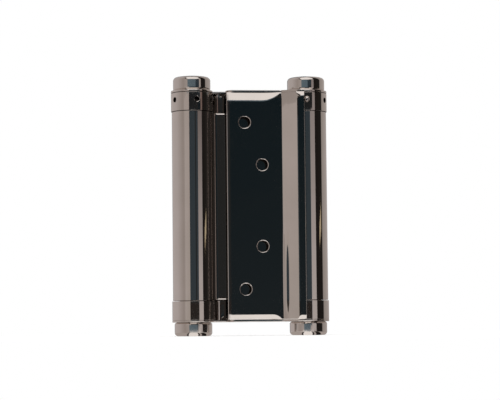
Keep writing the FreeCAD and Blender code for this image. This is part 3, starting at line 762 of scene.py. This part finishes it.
def web_plan(sizes):
    """Plan of the web: where its flat ends, its fading zone, and its closed line."""
    half, thickness = sizes.barrel_spacing / 2, sizes.web_thickness
    outer, inner = sizes.tube_radius, sizes.tube_radius - thickness
    drop = thickness / 2 + sizes.web_bend
    reach = outer + sizes.web_bend
    throat = half - math.sqrt(reach ** 2 - drop ** 2)
    lean = math.asin(drop / reach)
    seam_reach = sizes.web_bend + thickness + sizes.seam_gap
    seam = math.acos((reach ** 2 + outer ** 2 - seam_reach ** 2)
                     / (2 * reach * outer)) - lean
    wrap = 2 * math.pi - lean - seam
    low = -sizes.tube_height
    steps = []
    for sign in (-1, 1):
        centre = (sign * half, 0.0, low)
        bend = (sign * throat, sign * drop, low)
        rolled = math.pi - seam if sign > 0 else -seam
        steps += [
            (bend, UP, math.pi / 2 - lean, INNER_BEND_STEPS),
            (centre, UP, -wrap, TUBE_STEPS),
            (centre[0] + inner * math.cos(rolled), inner * math.sin(rolled), low),
            (centre, UP, wrap, TUBE_STEPS),
            (bend, UP, -(math.pi / 2 - lean), OUTER_BEND_STEPS),
        ]
        if sign < 0:
            steps.append((throat, thickness / 2, low))
    return throat, half - outer, (-throat, -thickness / 2, low), steps


class HINGE_OT_web(bpy.types.Operator):
    """Model the centre sheet with its two rolled tubes"""
    bl_idname = "hinge.web"
    bl_label = "Centre web"

    def execute(self, context):
        sizes = context.scene.hinge_sizes
        throat, fades, start, steps = web_plan(sizes)
        rounding, top = sizes.rim_rounding, sizes.tube_height
        bm = bmesh.new()
        raised(bm, outline(bm, start, steps), UP * (2 * top))
        soften_rims(bm, rounding, RIM_SEGMENTS)
        for corner in bm.verts:
            level, across = abs(corner.co.z), abs(corner.co.x)
            if level < top - rounding - WELD or across > fades:
                continue
            flat = min(1.0, (fades - across) / (fades - throat))
            deeper = 1 + (sizes.web_margin / rounding - 1) * flat
            ended = top - (top - level) * deeper - sizes.web_recess * flat
            corner.co.z = math.copysign(ended, corner.co.z)
            if across < throat + WELD:
                face = sizes.web_thickness / 2
                sunk = (face - abs(corner.co.y)) * sizes.web_roll / rounding
                corner.co.y = math.copysign(face - sunk, corner.co.y)
        mark_ends(bm)
        # The second material paints shade on the level ends of the web and tubes, in the gaps
        # under the collars
        nickel, ends = polished_nickel("web_nickel", UPRIGHT_LINES), dull_seat_and_painted_shade("tube_ends_shade")
        finished("rolled_web", bm, (nickel, ends), "web", "centre_web")
        return {"FINISHED"}


class HINGE_OT_caps(bpy.types.Operator):
    """Turn the four cap nuts"""
    bl_idname = "hinge.caps"
    bl_label = "Cap nuts"

    def execute(self, context):
        sizes = context.scene.hinge_sizes
        nickel = polished_nickel("cap_nickel", ROUND_LINES)
        foot, radius, end = sizes.plate_top, sizes.cap_radius, sizes.cap_end
        for side in SIDES:
            for name in ENDS:
                cap = turned([
                    (0.0, foot + CAP_BORE_DEPTH), (CAP_BORE, foot + CAP_BORE_DEPTH),
                    (CAP_BORE, foot), (radius, foot), (radius, end), (0.0, end)])
                soften_ring(cap, radius, end, sizes.cap_rounding, ROUND_SEGMENTS)
                soften_ring(cap, radius, foot, sizes.cap_base, CAP_BASE_SEGMENTS)
                if name == "bottom":
                    cap = mirrored_down(cap)
                barrel_piece(side, f"{name}_nut", cap, f"{name}_cap", (nickel,))
        return {"FINISHED"}


class HINGE_OT_collars(bpy.types.Operator):
    """Turn the tension collars, with their capstan holes, and the fixed collars"""
    bl_idname = "hinge.collars"
    bl_label = "Collars"

    def execute(self, context):
        sizes = context.scene.hinge_sizes
        # The second material paints shade inside the capstan holes and on the collars' level
        # ends
        materials = polished_nickel("collar_nickel", ROUND_LINES), dull_seat_and_painted_shade("capstan_bore_shade")
        bore, radius, foot = sizes.bore_radius, sizes.collar_radius, sizes.collar_foot
        end, far = sizes.collar_end - PLATE_CLEARANCE, -sizes.collar_end
        spigot = sizes.tube_radius - sizes.web_thickness - SPIGOT_CLEARANCE
        for side in SIDES:
            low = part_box(f"{side}_tension_collar")[0].z
            collar = self.ring(sizes, [
                (bore, low), (spigot, low), (spigot, foot), (radius, foot), (radius, end),
                (bore, end)], (foot, end))
            collar = carved(collar, capstan_tools(sizes))
            mark_ends(collar)
            ring = barrel_piece(side, "tension_ring", collar, "tension_collar", materials)
            true_round(ring, middle(f"{side}_spindle").x, radius)
            plain = self.ring(sizes, [
                (bore, far), (radius, far), (radius, -foot), (bore, -foot)], (far, -foot))
            mark_ends(plain)
            barrel_piece(side, "foot_ring", plain, "fixed_collar", materials)
        return {"FINISHED"}

    @staticmethod
    def ring(sizes, profile, levels):
        """Turned ring, rounded where its outer side meets the levels."""
        ring = turned(profile)
        for level in levels:
            soften_ring(ring, sizes.collar_radius, level, sizes.collar_rounding,
                        RIM_SEGMENTS)
        return ring


def pin_turn(sizes):
    """Direction of the stop pin about its barrel, just clear of the flange's cut edge."""
    aside = sizes.pin_diameter / 2 + SEAT_CLEARANCE
    return (1.5 * math.pi - sizes.cut_angle
            + math.asin(aside / (sizes.collar_radius + sizes.pin_reach / 2)))


def lay_outward(bm, sizes, degrees=0.0):
    """Lay a shape's own vertical out from the barrel, at so many degrees from the pin."""
    bmesh.ops.transform(
        bm, verts=bm.verts,
        matrix=Matrix.Translation((0.0, 0.0, sizes.plate_top - sizes.capstan_drop))
        @ Matrix.Rotation(pin_turn(sizes) + math.radians(degrees), 4, "Z")
        @ Matrix.Rotation(math.pi / 2, 4, "Y"))


def capstan_tools(sizes):
    """Cutters for the six capstan holes of a tension collar."""
    hole, side = sizes.capstan_hole / 2, sizes.collar_radius
    foot, mouth = side - sizes.capstan_depth, side + CAPSTAN_FALL * (CAPSTAN_CUTTER - 1)
    tools = []
    for degrees in CAPSTAN_TURNS:
        tool = turned([
            (0.0, foot), (hole, foot), (hole, side - CAPSTAN_FALL),
            (hole + CAPSTAN_RIM * CAPSTAN_CUTTER, mouth), (0.0, mouth)], CAPSTAN_STEPS)
        mark_inside(tool, side - CAPSTAN_FALL, -1)
        lay_outward(tool, sizes, degrees)
        tools.append(tool)
    return joined(tools)


class HINGE_OT_pins(bpy.types.Operator):
    """Turn the two round-ended stop pins"""
    bl_idname = "hinge.pins"
    bl_label = "Stop pins"

    def execute(self, context):
        sizes = context.scene.hinge_sizes
        nickel = polished_nickel("pin_nickel", NO_LINES)
        radius = sizes.pin_diameter / 2
        end = sizes.collar_radius + sizes.pin_reach
        foot = sizes.collar_radius - sizes.capstan_depth + SEAT_CLEARANCE
        for side in SIDES:
            pin = turned([(0.0, foot), (radius, foot), (radius, end), (0.0, end)], PIN_STEPS)
            soften_ring(pin, radius, end, radius * PIN_ROUNDING, ROUND_SEGMENTS)
            lay_outward(pin, sizes)
            barrel_piece(side, "pin", pin, "stop_pin", (nickel,))
        return {"FINISHED"}


def coiled_wire(sizes, low, high):
    """Spring between two heights: a leg, an elbow, the coil, an elbow and a leg."""
    wire = elbow = sizes.wire_diameter / 2
    radius = sizes.spring_radius
    foot = low + sizes.spring_leg + wire
    rise = high - sizes.spring_leg - wire - foot
    turn = 2 * math.pi * rise / sizes.wire_diameter
    steps = round(turn / (2 * math.pi) * COIL_STEPS)
    lean, leg = math.atan2(elbow, radius), foot - elbow - low
    bm = bmesh.new()
    section = bmesh.ops.create_circle(
        bm, segments=WIRE_SEGMENTS, radius=wire * WIRE_PLAY,
        matrix=Matrix.Translation((radius, 0.0, low)))["verts"]
    rim = list({edge for corner in section for edge in corner.link_edges})
    rim = pushed(bm, rim, (0, 0, leg))
    last = spin_on(bm, corners_of(rim) + rim, (radius, elbow, foot - elbow), (1, 0, 0),
                   -math.pi / 2, ELBOW_STEPS)
    last = bmesh.ops.spin(
        bm, geom=last, cent=(0, 0, 0), axis=UP, dvec=(0.0, 0.0, rise / steps),
        angle=turn - 2 * lean, steps=steps, use_merge=False,
        use_duplicate=False)["geom_last"]
    out = Vector((math.cos(turn), math.sin(turn), 0.0))
    along = Vector((-out.y, out.x, 0.0))
    arrival = out * radius - along * elbow + UP * (foot + rise)
    bmesh.ops.rotate(
        bm, cent=arrival, matrix=Matrix.Rotation(2 * lean, 3, "Z"),
        verts=only(last, bmesh.types.BMVert))
    last = spin_on(bm, last, arrival + UP * elbow, out, math.pi / 2, ELBOW_STEPS)
    pushed(bm, only(last, bmesh.types.BMEdge), (0, 0, leg))
    closed(bm)
    return bm


class HINGE_OT_springs(bpy.types.Operator):
    """Wind the two springs with their straight ends"""
    bl_idname = "hinge.springs"
    bl_label = "Springs"

    def execute(self, context):
        steel = drawn_wire("oiled_wire", context.scene.hinge_finishes.spring_steel)
        for side in SIDES:
            low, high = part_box(f"{side}_spring")
            coil = coiled_wire(context.scene.hinge_sizes, low.z, high.z)
            barrel_piece(side, "coil", coil, "spring", (steel,), "web")
        return {"FINISHED"}


class HINGE_OT_inner_finishes(bpy.types.Operator):
    """Give the pieces inside the barrels, which keep their CAD shapes, their finishes"""
    bl_idname = "hinge.inner_finishes"
    bl_label = "Inner finishes"

    def execute(self, context):
        finishes = context.scene.hinge_finishes
        steel = turned_steel("turned_steel", finishes.steel, STEEL_ROUGHNESS)
        bronze = turned_steel("turned_bronze", finishes.bronze, BRONZE_ROUGHNESS)
        for side in SIDES:
            for name, material in (("spindle", steel), ("anchor_plug", steel),
                                   ("top_washer", bronze), ("foot_washer", bronze)):
                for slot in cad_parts[f"{side}_{name}"].material_slots:
                    slot.material = material
        return {"FINISHED"}


# Studio
# Tints of the cloth tent round the hinge by azimuth, 0 being straight in front. The tent glows
# with them and shows only in polished metal: they are painted reflections of the lit and shaded
# cloth.
CLOTH = (
    (-180.0, (0.03, 0.043, 0.055)), (-168.0, (0.03, 0.043, 0.055)),
    (-165.0, (0.50, 0.46, 0.45)), (-100.0, (0.47, 0.43, 0.42)), (-60.0, (0.34, 0.30, 0.28)),
    (-34.0, (0.40, 0.36, 0.34)), (-31.0, (0.112, 0.16, 0.19)), (10.0, (0.10, 0.14, 0.17)),
    (24.0, (0.035, 0.05, 0.065)), (30.0, (0.26, 0.22, 0.20)), (47.0, (0.36, 0.32, 0.31)),
    (50.0, (0.016, 0.014, 0.012)), (85.0, (0.014, 0.013, 0.012)), (89.0, (0.33, 0.30, 0.28)),
    (165.0, (0.50, 0.46, 0.45)), (168.0, (0.03, 0.043, 0.055)), (180.0, (0.03, 0.043, 0.055)),
)
# The light comes through an opening over the front, which is wider further up
OPENING = (-29.0, 34.0)
OPENING_RISE, OPENING_SPREAD = 12.5, (0.6, 0.35)
# Painted light on the floor: the lit sectors round each barrel's foot, and round the whole
# hinge, which the cap nuts mirror
FOOT_OPENINGS = {"jamb": (-22.0, 11.0), "door": (-27.0, 5.0)}
FLOOR_OPENING = (-36.0, 34.0)
LIGHT, FRAME, PALE = (0.94, 0.91, 0.89), (0.03, 0.027, 0.025), (0.42, 0.38, 0.36)
# Widths of the dark frames round the lit openings, and the place of the painted dark band
# beside a foot's lit patch
FRAME_WIDTH, FOOT_FRAME, FOOT_DARK = 10.0, 6.0, (13.0, 34.0)
TENT_RISES = (
    -25, -12, 0, 6, 12.2, 12.8, 14, 16, 19, 22, 26, 30, 36, 42, 50, 60, 72, 89.9)
AZIMUTH_STEP = 1.5
AZIMUTHS = [step * AZIMUTH_STEP - 180 for step in range(round(360 / AZIMUTH_STEP) + 1)]
FLOOR_LIFT = 0.35
SOFT_LIGHT, WHITE_LIGHT = (0.75, 0.75, 0.75, 1.0), (1.0, 1.0, 1.0, 1.0)
LAMP_SIZE, LAMP_POWER, LAMP_PLACE = 0.9, 3.0, Vector((-0.5, -0.6, 1.5))
SENSOR_WIDTH, CLIP_START, CLIP_END = 36.0, 0.01, 20.0

# Upright cards close to the hinge. A column is its place in plan, in millimetres, and
# its levels with their tints. The dark ones stand for the camera and its stand, except the two
# cards in the hinge's gap and at the flange's free edge, which paint a dim reflection into that
# shaded gap.
TUBE = (0.037, 0.0495, 0.059)
WEB_TINT = (0.020, 0.021, 0.021)
COLLAR_TOP, COLLAR_FOOT = (0.016, 0.017, 0.018), (0.024, 0.020, 0.018)
STRIP_LOW, STRIP_HIGH = (0.50, 0.46, 0.45), (0.18, 0.155, 0.15)
FLAT_LOW, FLAT_HIGH = (0.0130, 0.0180, 0.0210), (0.0068, 0.0125, 0.0160)
BROWN = (0.0135, 0.0115, 0.0105)
DUSK = (0.030, 0.043, 0.055)
# Painted reflection: the dim glow that the shaded gap between a barrel and the flanges mirrors
GAP_REFLECTION = (0.024, 0.021, 0.019)
RUST, GOLD = (0.19, 0.135, 0.12), (0.50, 0.41, 0.27)
WINDOW_LEFT, WINDOW_RIGHT = (0.12, 0.165, 0.195), (0.105, 0.145, 0.175)
LEFT_PALE, LEFT_LOW, LEFT_HIGH = (0.44, 0.40, 0.38), (0.40, 0.36, 0.33), (0.44, 0.39, 0.37)
CARD_FOOT, FOOT_BLEND, HEAD_BLEND = -62.9, 0.4, 0.5


def even(low, high, tint):
    """Levels of a column with one tint."""
    return (low, tint), (high, tint)


def upright(places, *levels):
    """Columns at several places that share their levels."""
    return [(x, y, levels) for x, y in places]


def barrel_column(x, y, tube, collar_foot, collar_head, head):
    """Column that a barrel mirrors: its tint on the tube, and dark ones on the collars."""
    return (x, y, (
        (CARD_FOOT, COLLAR_FOOT), (collar_foot - FOOT_BLEND, COLLAR_FOOT),
        (collar_foot + FOOT_BLEND, tube), (collar_head - HEAD_BLEND, tube),
        (collar_head + HEAD_BLEND, COLLAR_TOP), (head, COLLAR_TOP)))


CARDS = {
    "window_card": (
        (-150, -266, even(-90, 116, WINDOW_LEFT)), (46, -237, even(-90, 110, WINDOW_RIGHT))),
    "upper_window": (
        (46, -237, even(74, 88, COLLAR_TOP) + even(89, 109, DUSK)),
        (116, -173, even(74, 88, COLLAR_TOP) + even(89, 103, DUSK))),
    "low_strip": upright(((46, -176), (104, -262)), *even(-72, -63.8, PALE)),
    "camera_card": (
        barrel_column(-63, -86, TUBE, -51.2, 60.3, 72.3),
        barrel_column(-16, -94.3, TUBE, -51.0, 61.5, 73.5),
        barrel_column(-12, -97.3, WEB_TINT, -51.0, 61.8, 74.0),
        barrel_column(-3, -104, WEB_TINT, -50.9, 62.6, 74.8),
        barrel_column(1, -107, TUBE, -50.9, 63.0, 75.2),
        barrel_column(68, -157.5, TUBE, -50.3, 69.0, 81.5)),
    "flat_card": upright(((-8.7, -46), (22.0, -46)), (CARD_FOOT, FLAT_LOW), (64, FLAT_HIGH)),
    "left_card": (
        (-130, -90, even(-63.4, 72, LEFT_PALE)),
        (-63, -85.6, ((-63.4, LEFT_LOW), (72, LEFT_HIGH)))),
    "near_strip": upright(((-27.3, -15), (-20.8, -15)), (-64, STRIP_LOW), (52.4, STRIP_HIGH)),
    "collar_strip": upright(
        ((-23.9, -15), (-20.8, -15)), *even(52.4, 63.6, RUST), *even(63.8, 75, PALE)),
    # Painted reflection: two cards inside the hinge, in the gap and at the flange's free edge,
    # give that shaded gap a dim glow to mirror
    "gap_painted_reflection": upright(((-13.4, -4.8), (-13.4, 4.8)), *even(-62, 62, GAP_REFLECTION)),
    "edge_painted_reflection": upright(((-12.3, -7.0), (-12.3, -11.0)), *even(-62, 62, GAP_REFLECTION)),
    "glint_card": ((895, -398, even(16, 36, GOLD)), (959, -204, even(34, 60, GOLD))),
    "right_strip": upright(
        ((100, -270), (165.6, -156.2)), (-70, STRIP_LOW), (160, STRIP_HIGH)),
    "right_dark": upright(((165.6, -156.2), (400, -200)), *even(-70, 160, BROWN)),
}


def cloth_tint(azimuth):
    """Tint of the cloth at an azimuth in degrees."""
    for (start, first), (stop, second) in zip(CLOTH, CLOTH[1:]):
        if azimuth <= stop:
            part = (azimuth - start) / (stop - start)
            return tuple(a + (b - a) * part for a, b in zip(first, second))
    return CLOTH[-1][1]


def framed_tint(azimuth, left, right, frame_width, around):
    """Tint of a lit opening with a dark frame, and of what is around them."""
    if left < azimuth < right:
        return LIGHT
    return FRAME if left - frame_width < azimuth < right + frame_width else around


def tent_tint(azimuth, rise):
    """Tint of the tent: cloth, or the lit opening with its dark frame."""
    above = rise - OPENING_RISE
    around = cloth_tint(azimuth)
    if above < 0:
        return around
    return framed_tint(azimuth, OPENING[0] - OPENING_SPREAD[0] * above,
                       OPENING[1] + OPENING_SPREAD[1] * above, FRAME_WIDTH, around)


def foot_floor_light_and_shade(azimuth, opening):
    """Painted light and shade of the floor close to a barrel's foot, as its cap nut mirrors it:
    a lit patch in a dark frame, a dark band beside it and pale shade elsewhere.
    """
    around = BROWN if FOOT_DARK[0] < azimuth - opening[1] < FOOT_DARK[1] else PALE
    return framed_tint(azimuth, *opening, FOOT_FRAME, around)


def tinted_card(name, rows, material):
    """Card between rows of (place, tint), which glows with its tints and shows only in polished
    metal, as a painted reflection.
    """
    bm = bmesh.new()
    layer = bm.loops.layers.float_color.new("tint")
    tints, grid = {}, []
    for row in rows:
        grid.append([bm.verts.new(place) for place, _ in row])
        tints.update({corner: tint for corner, (_, tint) in zip(grid[-1], row)})
    for row, following in zip(grid, grid[1:]):
        for here, there, beyond, back in zip(row, row[1:], following[1:], following):
            face = bm.faces.new((here, there, beyond, back))
            for corner in face.loops:
                corner[layer] = (*tints[corner.vert], 1.0)
    card = mesh_object(name, bm)
    card.data.materials.append(material)
    card.visible_camera = False
    card.visible_diffuse = False
    card.visible_shadow = False
    card.visible_transmission = False


def heading(azimuth):
    """Level direction at an azimuth in degrees."""
    turn = math.radians(azimuth)
    return Vector((math.sin(turn), -math.cos(turn), 0.0))


def level_card(name, centre, radii, tints, material):
    """Level card between two radii, with one tint for each azimuth."""
    tinted_card(name, [
        [(centre + heading(azimuth) * radius, tint) for azimuth, tint in zip(AZIMUTHS, tints)]
        for radius in radii], material)


def seen_plainly(tree):
    """One for what the camera, polished metal and glass see, and nought for diffuse light."""
    paths = add(tree, "LightPath")
    seen = paths.outputs["Is Camera Ray"]
    for kind in ("Is Glossy Ray", "Is Transmission Ray"):
        either = add(tree, "Math", operation="MAXIMUM")
        tree.links.new(seen, either.inputs[0])
        tree.links.new(paths.outputs[kind], either.inputs[1])
        seen = either.outputs[0]
    return seen


class HINGE_OT_studio(bpy.types.Operator):
    """Set up the floor, the cloth round the hinge, the light and the camera"""
    bl_idname = "hinge.studio"
    bl_label = "Studio"

    def execute(self, context):
        studio = context.scene.hinge_studio
        self.floor(studio)
        self.cards(studio)
        self.light(context)
        self.camera(context, studio)
        context.scene.view_settings.view_transform = "Standard"
        return {"FINISHED"}

    @staticmethod
    def floor(studio):
        bm = bmesh.new()
        bmesh.ops.create_circle(
            bm, cap_ends=True, segments=128, radius=studio.floor_radius,
            matrix=Matrix.Translation((0.0, 0.0, CAD_BOX[0][2])))
        ground = mesh_object("floor", bm)
        material, tree, shader = new_finish("pale_floor")
        for socket, value in (("Roughness", 0.9), ("Specular IOR Level", 0.1),
                              ("Base Color", (*studio.floor, 1.0)),
                              ("Emission Color", (1.0, 1.0, 1.0, 1.0))):
            shader.inputs[socket].default_value = value
        lift = add(tree, "Math", operation="MULTIPLY")
        lift.inputs[1].default_value = FLOOR_LIFT
        tree.links.new(seen_plainly(tree), lift.inputs[0])
        tree.links.new(lift.outputs[0], shader.inputs["Emission Strength"])
        ground.data.materials.append(material)

    @staticmethod
    def cards(studio):
        material, tree, light = new_finish("lit_card", "Emission")
        tint = add(tree, "VertexColor", layer_name="tint")
        tree.links.new(tint.outputs["Color"], light.inputs["Color"])
        tent = []
        for rise in TENT_RISES:
            slope = math.radians(rise)
            tent.append([
                ((heading(azimuth) * math.cos(slope) + UP * math.sin(slope))
                 * studio.tent_radius, tent_tint(azimuth, rise)) for azimuth in AZIMUTHS])
        tinted_card("tent", tent, material)
        for name, columns in CARDS.items():
            tinted_card(name, [
                [(Vector((x, y, z)) / 1000, tint) for z, tint in levels]
                for x, y, levels in columns], material)
        # The cards round the feet and over the floor paint the floor's light and shade, as the
        # cap nuts mirror it
        for side in SIDES:
            foot = middle(f"{side}_spindle")
            foot.z = CAD_BOX[0][2] + studio.foot_card_lift
            level_card(f"{side}_foot_card", foot,
                       (studio.foot_card_inside, studio.foot_card_outside),
                       [foot_floor_light_and_shade(azimuth, FOOT_OPENINGS[side]) for azimuth in AZIMUTHS],
                       material)
        left, right = FLOOR_OPENING
        level_card("floor_light_and_shade_card", UP * (CAD_BOX[0][2] + studio.foot_card_lift / 2),
                   (studio.foot_card_outside, studio.floor_radius),
                   [LIGHT if left < azimuth < right else cloth_tint(azimuth)
                    for azimuth in AZIMUTHS], material)

    @staticmethod
    def light(context):
        world = context.scene.world = bpy.data.worlds.new("studio")
        tree = new_tree(world)
        output, mix = add(tree, "OutputWorld"), add(tree, "MixShader")
        tree.links.new(seen_plainly(tree), mix.inputs[0])
        for socket, tint in ((1, SOFT_LIGHT), (2, WHITE_LIGHT)):
            background = add(tree, "Background", Color=tint, Strength=1.0)
            tree.links.new(background.outputs[0], mix.inputs[socket])
        tree.links.new(mix.outputs[0], output.inputs["Surface"])
        lamp = bpy.data.lights.new("soft_box", "AREA")
        lamp.shape, lamp.size, lamp.energy = "SQUARE", LAMP_SIZE, LAMP_POWER
        holder = bpy.data.objects.new("soft_box", lamp)
        holder.location = LAMP_PLACE
        holder.rotation_euler = (-LAMP_PLACE).to_track_quat("-Z", "Y").to_euler()
        context.scene.collection.objects.link(holder)

    @staticmethod
    def camera(context, studio):
        data = bpy.data.cameras.new("photo_camera")
        data.lens, data.sensor_width = studio.lens, SENSOR_WIDTH
        data.shift_x, data.shift_y = studio.shift_x, studio.shift_y
        data.clip_start, data.clip_end = CLIP_START, CLIP_END
        camera = bpy.data.objects.new("photo_camera", data)
        context.scene.collection.objects.link(camera)
        turn, distance = studio.camera_turn, studio.camera_distance
        place = Vector((-distance * math.sin(turn), -distance * math.cos(turn),
                        -studio.camera_height))
        yaw, pitch, roll = turn + studio.camera_yaw, studio.camera_pitch, studio.camera_roll
        ahead = Vector((math.sin(yaw) * math.cos(pitch), math.cos(yaw) * math.cos(pitch),
                        math.sin(pitch)))
        level = Vector((math.cos(yaw), -math.sin(yaw), 0.0))
        above = level.cross(ahead)
        right = level * math.cos(roll) + above * math.sin(roll)
        above = above * math.cos(roll) - level * math.sin(roll)
        axes = Matrix((right, above, -ahead)).transposed().to_4x4()
        camera.matrix_world = Matrix.Translation(place) @ axes
        context.scene.camera = camera


OPERATORS = (
    HINGE_OT_web, HINGE_OT_flanges, HINGE_OT_caps, HINGE_OT_collars, HINGE_OT_pins,
    HINGE_OT_springs, HINGE_OT_inner_finishes, HINGE_OT_studio,
)
GROUPS = (
    ("hinge_sizes", HingeSizes),
    ("hinge_finishes", HingeFinishes),
    ("hinge_studio", HingeStudio),
)


class HINGE_PT_panel(bpy.types.Panel):
    """Sizes, finishes and steps of the cafe hinge"""
    bl_idname = "HINGE_PT_panel"
    bl_label = "Cafe Hinge"
    bl_space_type = "VIEW_3D"
    bl_region_type = "UI"
    bl_category = "Cafe Hinge"

    def draw(self, context):
        for operator in OPERATORS:
            self.layout.operator(operator.bl_idname)
        for name, group in GROUPS:
            column = self.layout.column()
            column.label(text=group.__doc__)
            for key in group.__annotations__:
                column.prop(getattr(context.scene, name), key)


def register():
    for name, group in GROUPS:
        bpy.utils.register_class(group)
        setattr(bpy.types.Scene, name, bpy.props.PointerProperty(type=group))
    for kind in OPERATORS + (HINGE_PT_panel,):
        bpy.utils.register_class(kind)


def unregister():
    for kind in (HINGE_PT_panel,) + OPERATORS[::-1]:
        bpy.utils.unregister_class(kind)
    for name, group in GROUPS[::-1]:
        delattr(bpy.types.Scene, name)
        bpy.utils.unregister_class(group)


def main():
    register()
    bpy.ops.hinge.web()
    bpy.ops.hinge.flanges()
    bpy.ops.hinge.caps()
    bpy.ops.hinge.collars()
    bpy.ops.hinge.pins()
    bpy.ops.hinge.springs()
    bpy.ops.hinge.inner_finishes()
    bpy.ops.hinge.studio()


if __name__ == "__main__":
    main()
